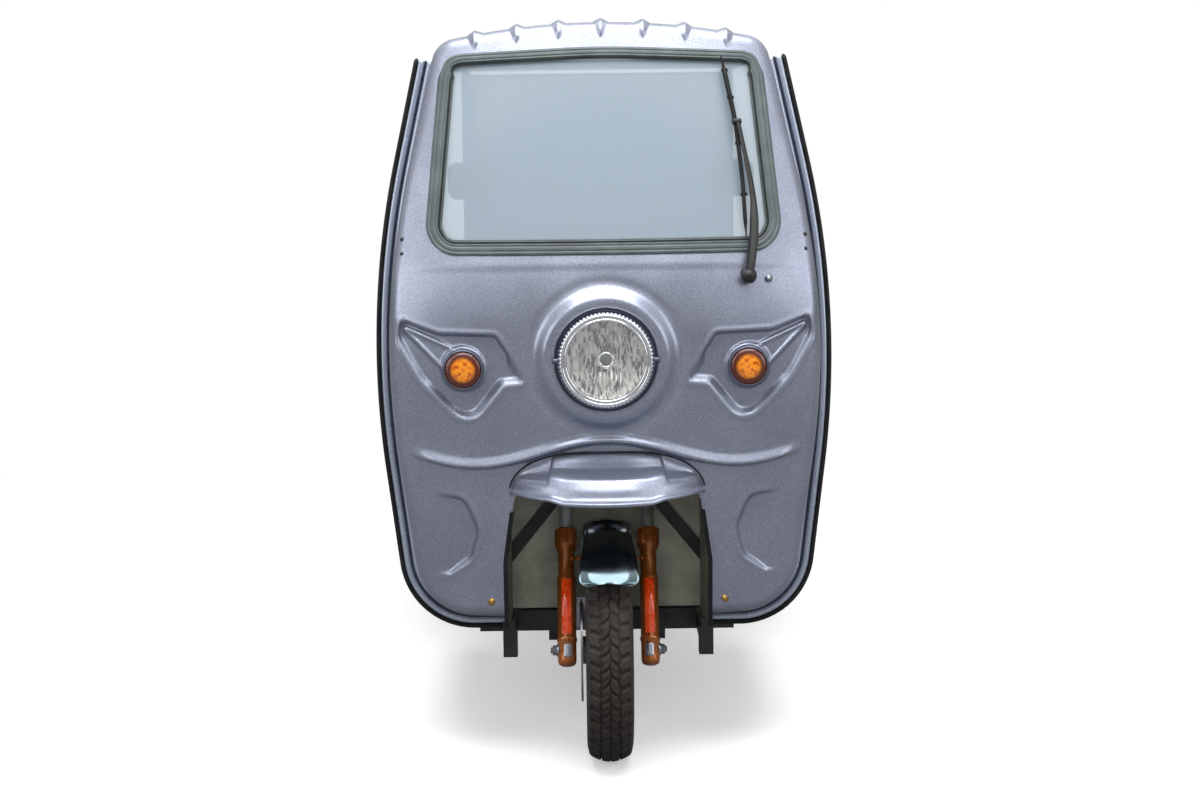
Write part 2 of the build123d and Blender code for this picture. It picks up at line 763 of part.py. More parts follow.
with BuildPart() as headlamp_bowl:
    back = lamp_rear + 4
    add(turned((
        (LENS_RADIUS + 8, back), (LENS_RADIUS + 8, back + 30), (70, back + 75), (25, back + 95),
        (0, back + 95), (0, back + 92), (24, back + 92), (68, back + 73), (LENS_RADIUS + 5, back + 29),
        (LENS_RADIUS + 5, back),
    ), 0, LAMP_Z))
    add(turned((
        (0, back + 94), (12, back + 94), (12, back + 30), (BULB_RADIUS, back + 20), (BULB_RADIUS, back + 8),
        (0, back + 6),
    ), 0, LAMP_Z))
save(headlamp_bowl, "headlamp_bowl")

# Indicators in the pressed fins
with BuildPart() as indicator_rims:
    for side in SIGNED:
        x = side * INDICATOR_X
        r = INDICATOR_RADIUS
        lens_rear = INDICATOR_STATION - 18
        add(turned((
            (r, lens_rear - 4), (r + 3, lens_rear - 6), (r + INDICATOR_RIM, lens_rear),
            (r + INDICATOR_RIM, -40), (0, -40), (0, lens_rear), (r, lens_rear),
        ), x, INDICATOR_Z))
    add(front_body(FIN_DEPTH - COLLAR_PROUD), mode=Mode.SUBTRACT)
save(indicator_rims, "indicator_rims")

with BuildPart() as indicator_lenses:
    for side in SIGNED:
        r = INDICATOR_RADIUS
        add(turned((
            (0, lens_rear), (0, lens_rear - 16), (18, lens_rear - 14), (32, lens_rear - 9), (r, lens_rear - 2),
            (r, lens_rear),
        ), side * INDICATOR_X, INDICATOR_Z))
save(indicator_lenses, "indicator_lenses")


def band(start, end, width, outward, inward):
    """A strip between two points of X and Z, between two insets of the cab front."""
    with BuildSketch() as face:
        with BuildLine():
            Polyline(*strip((start, end), width), close=True)
        make_face()
    return pressed(face.sketch, outward, inward)


# Wiper on the right: spindle, arm and blade, parked upright
with BuildPart() as wiper:
    add(pressed(disc(12, *WIPER_PIVOT), 22, 0))
    add(band(WIPER_PIVOT, WIPER_JOINT, 11, 22, -14))
    add(band(WIPER_FOOT, WIPER_TIP, 9, 14, -CLEAR))
save(wiper, "wiper")

# Wheel house: side walls, rear wall and a top that is open round the steering
with BuildPart() as wheel_house:
    block((-HOUSE_HALF - SHEET, HOUSE_HALF + SHEET), (-300, HOUSE_STATION + SHEET),
          (HOUSE_FOOT_Z, HOUSE_TOP_Z + SHEET))
    block((-HOUSE_HALF, HOUSE_HALF), (-310, HOUSE_STATION), (0, HOUSE_TOP_Z), mode=Mode.SUBTRACT)
    hole = along((HOUSE_TOP_Z - axis_foot.Z) / axis_unit.Z)
    with Locations((hole.X, hole.Y, HOUSE_TOP_Z)):
        Cylinder(STEM_HOLE, 20, mode=Mode.SUBTRACT)
    block((-38, 38), (HOUSE_STATION - 60, HOUSE_STATION + 10), (low.Z - 4, HOUSE_TOP_Z + 10),
          mode=Mode.SUBTRACT)
    add(front_body(SKIN), mode=Mode.INTERSECT)
    for nearby in (front_panel, arch_trim):
        add(nearby.part, mode=Mode.SUBTRACT)
    block((-260, 260), (-300, OUTRIGGER_FRONT), (0, BRACKET_Z[1]), mode=Mode.SUBTRACT)
save(wheel_house, "wheel_house")

# Floor of the cab with turned-down sides
with BuildPart() as floor_pan:
    plan = ((FLOOR_NOSE_HALF, at(FLOOR_FRONT)), (FLOOR_HALF, at(FLOOR_FULL)), (FLOOR_HALF, at(FLOOR_REAR)))
    tray = loop(*mirrored(plan, (10, 60, 4)))
    with BuildSketch(Plane.XY.offset(FLOOR_Z - FLOOR_EDGE)):
        add(tray)
    extrude(amount=FLOOR_EDGE)
    with BuildSketch(Plane.XY.offset(FLOOR_Z - FLOOR_EDGE)):
        add(grown(tray, -FLOOR_THICK))
    extrude(amount=FLOOR_EDGE - FLOOR_THICK, mode=Mode.SUBTRACT)
    house_out = HOUSE_HALF + SHEET
    block((-house_out, house_out), (0, HOUSE_STATION + SHEET), (200, 400), mode=Mode.SUBTRACT)
    block((-62, 62), (0, down_tube[1] + 1), (200, 400), mode=Mode.SUBTRACT)
    for side in SIGNED:
        x = sorted((side * rail_in, side * rail_out))
        block(x, (beam[0], FLOOR_REAR - 30), (RAIL_Z + RAIL_SIDE / 2, FLOOR_Z - FLOOR_THICK))
save(floor_pan, "floor_pan")

# Posts and rails of the cab behind the pillars
with BuildPart() as cab_frame:
    rail_z = (ROOF_SPLIT_Z - POST, ROOF_SPLIT_Z)
    for side in SIGNED:
        x = sorted((side * (ROOF_SIDE - POST), side * ROOF_SIDE))
        block(x, (rim_station(rail_z[0]) + HOOP_DEPTH + 1, ROOF_REAR), rail_z)
        x = sorted((side * (WALL_HALF - POST), side * WALL_HALF))
        block(x, (WALL_STATION - POST, WALL_STATION), (FLOOR_Z, rail_z[0]))
    block((-ROOF_SIDE + POST, ROOF_SIDE - POST), (WALL_STATION - POST, WALL_STATION), rail_z)
save(cab_frame, "cab_frame")

with BuildPart() as cab_rear_wall:
    block((-WALL_HALF, WALL_HALF), (WALL_STATION, WALL_STATION + SHEET), (FLOOR_Z, WALL_TOP_Z))
save(cab_rear_wall, "cab_rear_wall")

# Dash: a bent sheet behind the screen
with BuildPart() as dash:
    add(side_strip(DASH, SHEET, (-DASH_HALF, DASH_HALF)))
    pod = side_strip(((60, 1122), (140, 1112)), 24, (-POD_HALF, POD_HALF))
    add(pod.fillet(9, pod.edges().filter_by(Axis.X)))
    add(front_body(SKIN) & slab(outline(-SKIN), -400, 400), mode=Mode.INTERSECT)
save(dash, "dash")

# Brake pedal: a pad on a bent arm from a pivot on the floor
with BuildPart() as brake_pedal:
    pivot_z = FLOOR_Z + 22
    block((PEDAL_X - 20, PEDAL_X - 16), (PEDAL_STATION - 72, PEDAL_STATION - 32), (FLOOR_Z, pivot_z + 12))
    block((PEDAL_X + 16, PEDAL_X + 20), (PEDAL_STATION - 72, PEDAL_STATION - 32), (FLOOR_Z, pivot_z + 12))
    bar((PEDAL_X - 22, PEDAL_STATION - 52, pivot_z), (PEDAL_X + 22, PEDAL_STATION - 52, pivot_z), 7)
    arm = ((PEDAL_STATION - 52, pivot_z), (PEDAL_STATION - 40, PEDAL_Z - 20), (PEDAL_STATION, PEDAL_Z))
    add(side_strip(arm, 14, (PEDAL_X - 5, PEDAL_X + 5)))
    pad = ((PEDAL_STATION - 8, PEDAL_Z - 26), (PEDAL_STATION + 14, PEDAL_Z + 30))
    add(side_strip(pad, 8, (PEDAL_X - 32, PEDAL_X + 32)))
save(brake_pedal, "brake_pedal")

# Seat over the battery
with BuildPart() as seat_base:
    seat = (SEAT_FRONT, SEAT_FRONT + SEAT_DEPTH)
    block((-SEAT_HALF, SEAT_HALF), seat, (FLOOR_Z, SEAT_BASE_Z))
    inside = (-SEAT_HALF + SHEET, SEAT_HALF - SHEET)
    block(inside, (seat[0] + SHEET, seat[1] - SHEET), (0, SEAT_BASE_Z + 1), mode=Mode.SUBTRACT)
save(seat_base, "seat_base")

with BuildPart() as battery_pack:
    block(BATTERY_X, BATTERY_STATION, (FLOOR_Z, FLOOR_Z + BATTERY_HEIGHT))
save(battery_pack, "battery_pack")

with BuildPart() as seat_cushion:
    block((-SEAT_HALF, SEAT_HALF), seat, (SEAT_BASE_Z, SEAT_BASE_Z + CUSHION))
    fillet(seat_cushion.edges().group_by(Axis.Z)[-1], radius=25)
save(seat_cushion, "seat_cushion")

with BuildPart() as seat_backrest:
    block((-SEAT_HALF + 20, SEAT_HALF - 20), (WALL_STATION - 60, WALL_STATION), BACKREST_Z)
    fillet(seat_backrest.edges().group_by(Axis.Y)[0], radius=20)
save(seat_backrest, "seat_backrest")

# Rear axle with its differential and brake plates, motor ahead of it
with BuildPart() as rear_axle:
    plate = REAR_TRACK / 2 - REAR_HUB_LENGTH - 4
    bar((-plate, WHEELBASE, AXLE_HEIGHT), (plate, WHEELBASE, AXLE_HEIGHT), AXLE_TUBE)
    bar((-plate - 4, WHEELBASE, AXLE_HEIGHT), (-plate, WHEELBASE, AXLE_HEIGHT), DRUM_RADIUS)
    bar((plate, WHEELBASE, AXLE_HEIGHT), (plate + 4, WHEELBASE, AXLE_HEIGHT), DRUM_RADIUS)
    bar((-60, WHEELBASE, AXLE_HEIGHT), (70, WHEELBASE, AXLE_HEIGHT), 84)
    block((-10, 60), (WHEELBASE - 150, WHEELBASE), (AXLE_HEIGHT - 40, AXLE_HEIGHT + 70))
    for side in SIGNED:
        end = side * (plate + 5)
        bar((side * (plate - 60), WHEELBASE, AXLE_HEIGHT), (end, WHEELBASE, AXLE_HEIGHT),
            SPINDLE_RADIUS + CLEAR, mode=Mode.SUBTRACT)
save(rear_axle, "rear_axle")

with BuildPart() as drive_motor:
    z = AXLE_HEIGHT + 25
    bar((-10 - MOTOR_LENGTH, WHEELBASE - 165, z), (-10, WHEELBASE - 165, z), MOTOR_RADIUS)
save(drive_motor, "drive_motor")

# Leaf springs: an arc for each leaf, shorter towards the axle
with BuildPart() as leaf_springs:
    half = SPRING_LENGTH / 2
    curve = (half ** 2 + SPRING_SAG ** 2) / (2 * SPRING_SAG)
    for i in range(LEAF_COUNT):
        reach = half - i * LEAF_STEP
        middle = eye_z - SPRING_SAG - i * LEAF_THICK
        centre_z = middle + curve
        radius = curve
        with BuildSketch(Plane.YZ.offset(RAIL_X - LEAF_WIDTH / 2)):
            with BuildLine():
                turn = math.degrees(math.asin(reach / radius))
                centre = (at(WHEELBASE), centre_z)
                low_arc = CenterArc(centre, radius + LEAF_THICK / 2, -90 - turn, 2 * turn)
                top_arc = CenterArc(centre, radius - LEAF_THICK / 2, -90 - turn, 2 * turn)
                Line(low_arc @ 0, top_arc @ 0)
                Line(low_arc @ 1, top_arc @ 1)
            make_face()
        extrude(amount=LEAF_WIDTH)
    for end in SIGNED:
        middle = (RAIL_X, WHEELBASE + end * (half + 4), eye_z)
        bar((RAIL_X - LEAF_WIDTH / 2, *middle[1:]), (RAIL_X + LEAF_WIDTH / 2, *middle[1:]), 12)
    clamp = (WHEELBASE - CLAMP_HALF, WHEELBASE + CLAMP_HALF)
    clamp_x = (RAIL_X - LEAF_WIDTH / 2 - 12, RAIL_X + LEAF_WIDTH / 2 + 12)
    leaf_top = eye_z - SPRING_SAG + LEAF_THICK / 2
    block(clamp_x, clamp, (leaf_top, leaf_top + 6))
    block(clamp_x, clamp, (AXLE_HEIGHT - AXLE_TUBE - 8, AXLE_HEIGHT - AXLE_TUBE - CLEAR))
    for x in (clamp_x[0] + 6, clamp_x[1] - 6):
        for station in (WHEELBASE - AXLE_TUBE - CLAMP_BOLT - 2, WHEELBASE + AXLE_TUBE + CLAMP_BOLT + 2):
            bar((x, station, AXLE_HEIGHT - AXLE_TUBE - 14), (x, station, leaf_top + 12), CLAMP_BOLT)
    mirror(about=Plane.YZ)
save(leaf_springs, "leaf_springs")

# Mudguards over the rear wheels, hung from the bed's cross members
guard = BED_FLOOR_Z - BED_SKIN - BED_EDGE - CLEAR - AXLE_HEIGHT
hanger_station = BED_FRONT + 20 + 3 * (BED_LENGTH - 40) / 5
with BuildPart() as rear_mudguards:
    for side in SIGNED:
        x = sorted((side * (REAR_TRACK / 2 - 56), side * (REAR_TRACK / 2 + 48)))
        ends = [(v, WHEELBASE, AXLE_HEIGHT) for v in x]
        bar(*ends, guard)
        hanger_x = sorted((side * (REAR_TRACK / 2 - 56), side * (REAR_TRACK / 2 - 34)))
        hanger = (hanger_station - 15, hanger_station + 15)
        block(hanger_x, hanger, (AXLE_HEIGHT, BED_FLOOR_Z - BED_SKIN - CROSS_DEPTH))
        bar(*ends, guard - SHEET, mode=Mode.SUBTRACT)
    around = (WHEELBASE - 2 * guard, WHEELBASE + 2 * guard)
    block((-REAR_TRACK, REAR_TRACK), around, (-guard, AXLE_HEIGHT + GUARD_FOOT), mode=Mode.SUBTRACT)
save(rear_mudguards, "rear_mudguards")

# Load bed: runners, cross members, edge rails, rear posts and hinge lugs
frame_top = BED_FLOOR_Z - BED_SKIN
hinge_x = BED_HALF + BOARD_GAP + BOARD_THICK / 2
hinge_s = BED_REAR + BOARD_GAP + BOARD_THICK / 2
board_front = BED_FRONT + 30 + BOARD_GAP
board_rear = BED_REAR - POST_SIDE + BOARD_THICK
side_hinges = [board_front + (i + 0.5) * (board_rear - board_front) / HINGE_COUNT
               for i in range(HINGE_COUNT)]
tail_half = BED_HALF - BOARD_GAP
tail_hinges = [-tail_half + (i + 0.5) * 2 * tail_half / 3 for i in range(3)]
lug = HINGE_WIDTH / 2 - 2
with BuildPart() as bed_frame:
    for side in SIGNED:
        x = sorted((side * rail_in, side * rail_out))
        block(x, (BED_FRONT, RAIL_REAR), (rail_top, frame_top - CROSS_DEPTH))
        x = sorted((side * (BED_HALF - 30), side * BED_HALF))
        block(x, (BED_FRONT, BED_REAR), (frame_top - BED_EDGE, frame_top))
        x = sorted((side * BED_HALF, side * (hinge_x + BOARD_THICK / 2)))
        block(x, (board_rear + BOARD_GAP, TAIL_STATION), (frame_top - BED_EDGE, BOARD_TOP_Z))
        for station in side_hinges:
            with Locations((side * hinge_x, at(station), HINGE_Z)):
                Cylinder(HINGE_RADIUS, 2 * lug, rotation=(90, 0, 0))
            x = sorted((side * BED_HALF, side * hinge_x))
            block(x, (station - lug, station + lug), (HINGE_Z - 7, HINGE_Z + 7))
    for i in range(6):
        station = BED_FRONT + 20 + i * (BED_LENGTH - 40) / 5
        across = (station - 20, station + 20)
        block((-BED_HALF + 30, BED_HALF - 30), across, (frame_top - CROSS_DEPTH, frame_top))
    for x in tail_hinges:
        with Locations((x, at(hinge_s), HINGE_Z)):
            Cylinder(HINGE_RADIUS, 2 * lug, rotation=(0, 90, 0))
        block((x - lug, x + lug), (BED_REAR - 1, hinge_s), (HINGE_Z - 7, HINGE_Z + 7))
    for side in SIGNED:
        for station in side_hinges:
            with Locations((side * hinge_x, at(station), HINGE_Z)):
                Cylinder(PIN_RADIUS + CLEAR, 3 * lug, rotation=(90, 0, 0), mode=Mode.SUBTRACT)
    for x in tail_hinges:
        with Locations((x, at(hinge_s), HINGE_Z)):
            Cylinder(PIN_RADIUS + CLEAR, 3 * lug, rotation=(0, 90, 0), mode=Mode.SUBTRACT)
save(bed_frame, "bed_frame")

with BuildPart() as bed_floor:
    block((-BED_HALF, BED_HALF), (BED_FRONT + BOARD_THICK, BED_REAR), (frame_top, BED_FLOOR_Z))
save(bed_floor, "bed_floor")

with BuildPart() as headboard:
    top = BOARD_TOP_Z + HEADBOARD_RISE
    block((-BED_HALF, BED_HALF), (BED_FRONT, BED_FRONT + BOARD_PANEL), (frame_top, BOARD_TOP_Z))
    for z in (frame_top, BOARD_TOP_Z - BOARD_THICK, top - BOARD_THICK):
        block((-BED_HALF, BED_HALF), (BED_FRONT, BED_FRONT + BOARD_THICK), (z, z + BOARD_THICK))
    for i in range(7):
        x = -BED_HALF + BOARD_THICK / 2 + i * (2 * BED_HALF - BOARD_THICK) / 6
        block((x - 12, x + 12), (BED_FRONT, BED_FRONT + BOARD_THICK), (frame_top, top))
    for side in SIGNED:
        x = sorted((side * BED_HALF, side * (hinge_x + BOARD_THICK / 2)))
        block(x, (BED_FRONT, BED_FRONT + 30), (frame_top - BED_EDGE, top))
save(headboard, "headboard")


def drop_board(length, hinges):
    """A drop board lying along local X, its inner face to +Y and its hinge axis on X."""
    with BuildPart() as board:
        t = BOARD_THICK / 2
        rise = BOARD_TOP_Z - HINGE_Z
        panel = (0, t - BOARD_PANEL / 2, rise / 2)
        with Locations(panel):
            Box(length, BOARD_PANEL, rise)
        for z in (BOARD_THICK / 2, rise - BOARD_THICK / 2):
            with Locations((0, 0, z)):
                Box(length, BOARD_THICK, BOARD_THICK)
        for i in range(BOARD_RIBS):
            x = -length / 2 + BOARD_THICK / 2 + i * (length - BOARD_THICK) / (BOARD_RIBS - 1)
            with Locations((x, 0, rise / 2)):
                Box(BOARD_THICK, BOARD_THICK, rise)
        for x in hinges:
            with Locations((x, 0, 0)):
                Box(HINGE_WIDTH, 60, 2 * (HINGE_RADIUS + 6), mode=Mode.SUBTRACT)
        for x in hinges:
            with Locations((x, 0, 0)):
                Cylinder(PIN_RADIUS, HINGE_WIDTH + 40, rotation=(0, 90, 0))
            for side in SIGNED:
                with Locations((x + side * (HINGE_WIDTH / 2 + 10), 0, 0)):
                    Cylinder(HINGE_RADIUS, 20, rotation=(0, 90, 0))
    return board.part


board_length = board_rear - board_front
board_mid = (board_front + board_rear) / 2
for side, name in ((-1, "side_board_left"), (1, "side_board_right")):
    with BuildPart() as side_board:
        places = [side * (s - board_mid) for s in side_hinges]
        add(drop_board(board_length, places).rotate(Axis.Z, 90 * side)
            .translate((side * hinge_x, at(board_mid), HINGE_Z)))
    save(side_board, name)

with BuildPart() as tailgate:
    add(drop_board(2 * tail_half, tail_hinges).rotate(Axis.Z, 180)
        .translate((0, at(hinge_s), HINGE_Z)))
save(tailgate, "tailgate")

# Rear bar and tail lamps
with BuildPart() as rear_bar:
    block((-470, 470), (RAIL_REAR, RAIL_REAR + 30), (rail_bottom + 5, rail_top - 5))
save(rear_bar, "rear_bar")

with BuildPart() as tail_lamps:
    for side in SIGNED:
        x = sorted((side * 370, side * 460))
        block(x, (RAIL_REAR + 30, RAIL_REAR + 46), (rail_bottom + 8, rail_top - 8))
save(tail_lamps, "tail_lamps")


def wheel_plane(x, station):
    """Plane whose local x is the wheel's axis and local y its radius, at a wheel's centre."""
    return Plane(origin=(x, at(station), AXLE_HEIGHT), x_dir=(1, 0, 0), z_dir=(0, -1, 0))


def tyre_body(x, station):
    """A tyre about an axle along X."""
    with BuildPart() as body:
        with BuildSketch(wheel_plane(x, station)):
            with BuildLine():
                bead = RIM_WIDTH / 2 - RIM_WALL
                half = TYRE_WIDTH / 2
                shoulder = (half - 7, TYRE_RADIUS - 14)
                crown = ThreePointArc((-shoulder[0], shoulder[1]), (0, TYRE_RADIUS), shoulder)
                wall = ThreePointArc(crown @ 1, (half, 205), (bead + 2, BEAD_RADIUS + 14))
                foot = Polyline(wall @ 1, (bead, BEAD_RADIUS + 10), (bead, BEAD_RADIUS),
                                (-bead, BEAD_RADIUS), (-bead, BEAD_RADIUS + 10),
                                (-bead - 2, BEAD_RADIUS + 14))
                ThreePointArc(foot @ 1, (-half, 205), crown @ 0)
            make_face()
        revolve(axis=Axis((x, at(station), AXLE_HEIGHT), (1, 0, 0)))
    return body.part


def rim_body(x, station, side, hub_in, hub_out):
    """A pressed rim with its vented disc and hub, about an axle along X."""
    axis = Axis((x, at(station), AXLE_HEIGHT), (1, 0, 0))
    with BuildPart() as body:
        with BuildSketch(wheel_plane(x, station)):
            with BuildLine():
                half = RIM_WIDTH / 2
                r = BEAD_RADIUS
                Polyline(
                    (half, r + 10), (half, r - 4), (20, r - 4), (16, 134), (-16, 134), (-20, r - 4),
                    (-half, r - 4), (-half, r + 10), (-half + 4, r + 10), (-half + 4, r),
                    (-17, r), (-13, 138), (13, 138), (17, r), (half - 4, r), (half - 4, r + 10),
                    close=True,
                )
            make_face()
            with BuildLine():
                Polyline(
                    (side * 4, 134), (side * 10, 134), (side * 22, 96), (side * 22, HUB_RADIUS - 8),
                    (side * 16, HUB_RADIUS - 8), (side * 16, 92), close=True,
                )
            make_face()
            with BuildLine():
                Polyline((hub_in, 0), (hub_out, 0), (hub_out, HUB_RADIUS - 6),
                         (hub_in, HUB_RADIUS - 6), close=True)
            make_face()
        revolve(axis=axis)
        with BuildSketch(Plane(origin=(x, at(station), AXLE_HEIGHT), z_dir=(1, 0, 0))):
            with PolarLocations(113, VENT_COUNT):
                Circle(11)
        extrude(amount=40, both=True, mode=Mode.SUBTRACT)
    return body.part


for side, name in ((-1, "left"), (1, "right")):
    x = side * REAR_TRACK / 2
    with BuildPart() as rear_tyre:
        add(tyre_body(x, WHEELBASE))
    save(rear_tyre, f"rear_tyre_{name}")
    with BuildPart() as rear_rim:
        add(rim_body(x, WHEELBASE, side, -side * 40, side * 40))
        inner = side * (plate + 4.5)
        bar((inner, WHEELBASE, AXLE_HEIGHT), (side * (REAR_TRACK / 2 + 10), WHEELBASE, AXLE_HEIGHT),
            DRUM_RADIUS - 6)
        bar((side * (plate - 50), WHEELBASE, AXLE_HEIGHT), (inner, WHEELBASE, AXLE_HEIGHT),
            SPINDLE_RADIUS)
    save(rear_rim, f"rear_rim_{name}")

# Front wheel
with BuildPart() as front_tyre:
    add(tyre_body(0, 0))
save(front_tyre, "front_tyre")

hub_half = FRONT_HUB_LENGTH / 2
with BuildPart() as front_rim:
    add(rim_body(0, 0, 1, -hub_half, hub_half))
    bar((-hub_half - 1, 0, AXLE_HEIGHT), (hub_half + 1, 0, AXLE_HEIGHT), AXLE_RADIUS + CLEAR,
        mode=Mode.SUBTRACT)
save(front_rim, "front_rim")

with BuildPart() as brake_disc:
    bar((-DISC_X - 2.5, 0, AXLE_HEIGHT), (-DISC_X + 2.5, 0, AXLE_HEIGHT), DISC_RADIUS)
    bar((-DISC_X + 2.5, 0, AXLE_HEIGHT), (-hub_half, 0, AXLE_HEIGHT), HUB_RADIUS - 8)
    bar((-DISC_X - 3, 0, AXLE_HEIGHT), (-hub_half + 1, 0, AXLE_HEIGHT), AXLE_RADIUS + CLEAR,
        mode=Mode.SUBTRACT)
    with BuildSketch(Plane(origin=(-DISC_X, at(0), AXLE_HEIGHT), z_dir=(1, 0, 0))):
        with PolarLocations(72, 6):
            Circle(14)
    extrude(amount=10, both=True, mode=Mode.SUBTRACT)
save(brake_disc, "brake_disc")

# Fork: lower legs with the axle, stanchions, and two yokes on the stem
with BuildPart() as fork_lowers:
    for side in SIGNED:
        x = side * LEG_X
        for start, end, radius in LEG_STEPS:
            upright(radius, start, end, x, YOKE_OFFSET)
    nut = LEG_X + LEG_RADIUS + 12
    bar((-nut, 0, AXLE_HEIGHT), (nut, 0, AXLE_HEIGHT), AXLE_RADIUS)
    bar((-nut + 4, 0, AXLE_HEIGHT), (-LEG_X, 0, AXLE_HEIGHT), AXLE_RADIUS + 4)
    bar((LEG_X, 0, AXLE_HEIGHT), (nut - 4, 0, AXLE_HEIGHT), AXLE_RADIUS + 4)
    for side in SIGNED:
        x = side * LEG_X
        inner = sorted((side * FENDER_HALF, side * (LEG_X - LEG_RADIUS + 4)))
        spot = along(LOWER_TOP - 16, 0, YOKE_OFFSET)
        with Locations(Plane(origin=(sum(inner) / 2, spot.Y, spot.Z), x_dir=(1, 0, 0),
                             z_dir=axis_unit).location):
            Box(inner[1] - inner[0], 20, 16)
    with Locations(steer_plane(95, -(LEG_X + DISC_X + 17) / 2, YOKE_OFFSET - 35).location):
        Box(LEG_X - DISC_X - 17, 50, 50)
    for side in SIGNED:
        upright(STANCHION_RADIUS + CLEAR, STANCHION_FOOT, LOWER_TOP + 1, side * LEG_X, YOKE_OFFSET,
                mode=Mode.SUBTRACT)
save(fork_lowers, "fork_lowers")

with BuildPart() as stanchions:
    for side in SIGNED:
        upright(STANCHION_RADIUS, STANCHION_FOOT, UPPER_YOKE + YOKE_THICK / 2 + 3, side * LEG_X,
                YOKE_OFFSET)
save(stanchions, "stanchions")

with BuildPart() as fork_yokes:
    for distance in (LOWER_YOKE, UPPER_YOKE):
        with BuildSketch(steer_plane(distance - YOKE_THICK / 2)):
            with Locations((-LEG_X, -YOKE_OFFSET), (LEG_X, -YOKE_OFFSET)):
                Circle(STANCHION_RADIUS + 9)
            with Locations((0, 0)):
                Circle(STEM_RADIUS + 12)
            make_hull()
        extrude(amount=YOKE_THICK)
    upright(STEM_RADIUS, LOWER_YOKE, STEM_TOP)
    for side in SIGNED:
        upright(STANCHION_RADIUS, 300, UPPER_YOKE + 60, side * LEG_X, YOKE_OFFSET, mode=Mode.SUBTRACT)
save(fork_yokes, "fork_yokes")

bar_y = along(STEM_TOP).Y
bar_z = along(STEM_TOP).Z
stem_station = bar_y - AXLE_Y
half_bar = ((120, 0, 0), (210, 40, 45), (GRIP_X, 62, 48))
bar_line = [(-x, bar_y + y, bar_z + z) for x, y, z in reversed(half_bar)]
bar_line += [(x, bar_y + y, bar_z + z) for x, y, z in half_bar]
with BuildPart() as handlebar:
    with BuildLine():
        path = FilletPolyline(*bar_line, radius=45)
    with BuildSketch(Plane(origin=path @ 0, z_dir=path % 0)):
        Circle(BAR_RADIUS)
    sweep()
    with Locations(steer_plane(STEM_TOP).location):
        Box(50, 44, 40)
    for side in SIGNED:
        perch = Vector(side * LEVER_X, bar_line[-2][1] - AXLE_Y + 2, bar_line[-2][2])
        tip = Vector(side * (GRIP_X - 8), bar_line[-1][1] - AXLE_Y - LEVER_AHEAD, bar_line[-1][2] - 6)
        knuckle = Vector(side * (LEVER_X + 20), perch.Y - LEVER_AHEAD + 12, perch.Z - 2)
        bar(tuple(perch), tuple(knuckle), 8)
        bar(tuple(knuckle), tuple(tip), 5)
    upright(STEM_RADIUS, STEM_TOP - 60, STEM_TOP, mode=Mode.SUBTRACT)
save(handlebar, "handlebar")

with BuildPart() as grips:
    for side in SIGNED:
        tip = Vector(side * GRIP_X, *bar_line[-1][1:])
        bend = Vector(side * 210, *bar_line[-2][1:])
        out = (tip - bend).normalized()
        with Locations(Plane(origin=tip - out * GRIP_LENGTH, z_dir=out).location):
            Cylinder(16, GRIP_LENGTH + 4, align=(Align.CENTER, Align.CENTER, Align.MIN))
            Cylinder(BAR_RADIUS, GRIP_LENGTH, align=(Align.CENTER, Align.CENTER, Align.MIN),
                     mode=Mode.SUBTRACT)
save(grips, "grips")

with BuildPart() as mirrors:
    for side in SIGNED:
        near = Vector(side * half_bar[0][0], bar_y + half_bar[0][1], bar_z + half_bar[0][2])
        far = Vector(side * half_bar[1][0], bar_y + half_bar[1][1], bar_z + half_bar[1][2])
        middle = (near + far) * 0.5
        foot = (middle.X, middle.Y - AXLE_Y, middle.Z + BAR_RADIUS)
        bar(foot, (side * MIRROR_X, stem_station - 10, MIRROR_Z - 30), 5)
        with Locations(Plane(origin=middle, z_dir=far - near).location):
            Cylinder(BAR_RADIUS + 5, 22)
            Cylinder(BAR_RADIUS, 30, mode=Mode.SUBTRACT)
        with BuildSketch(facing(stem_station - 10 + MIRROR_DEPTH / 2)):
            with Locations((side * MIRROR_X, MIRROR_Z)):
                RectangleRounded(*MIRROR_SIZE, 22)
        extrude(amount=MIRROR_DEPTH, taper=30)
save(mirrors, "mirrors")

with BuildPart() as front_fender:
    start = Plane(origin=(0, at(0), AXLE_HEIGHT), x_dir=(1, 0, 0),
                  z_dir=(0, -math.sin(math.radians(FENDER_FRONT)), -math.cos(math.radians(FENDER_FRONT))))
    with BuildSketch(start):
        with BuildLine():
            r = FENDER_RADIUS
            w = FENDER_HALF
            t = FENDER_THICK
            Polyline(
                (-w, r - 26), (-w, r - 8), (-w + 8, r), (w - 8, r), (w, r - 8), (w, r - 26),
                (w - t, r - 26), (w - t, r - 9), (w - 9, r - t), (-w + 9, r - t), (-w + t, r - 9),
                (-w + t, r - 26), close=True,
            )
        make_face()
    revolve(axis=Axis((0, at(0), AXLE_HEIGHT), (1, 0, 0)), revolution_arc=FENDER_FRONT - FENDER_REAR)
save(front_fender, "front_fender")

with BuildPart() as brake_caliper:
    pad = steer_plane(95, -DISC_X, YOKE_OFFSET - 48)
    with Locations(pad.location):
        Box(34, 40, 70)
    with BuildSketch(Plane(origin=(-DISC_X, at(0), AXLE_HEIGHT), z_dir=(1, 0, 0))):
        Circle(DISC_RADIUS + 3)
    extrude(amount=4.5, both=True, mode=Mode.SUBTRACT)
save(brake_caliper, "brake_caliper")
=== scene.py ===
import json
import math

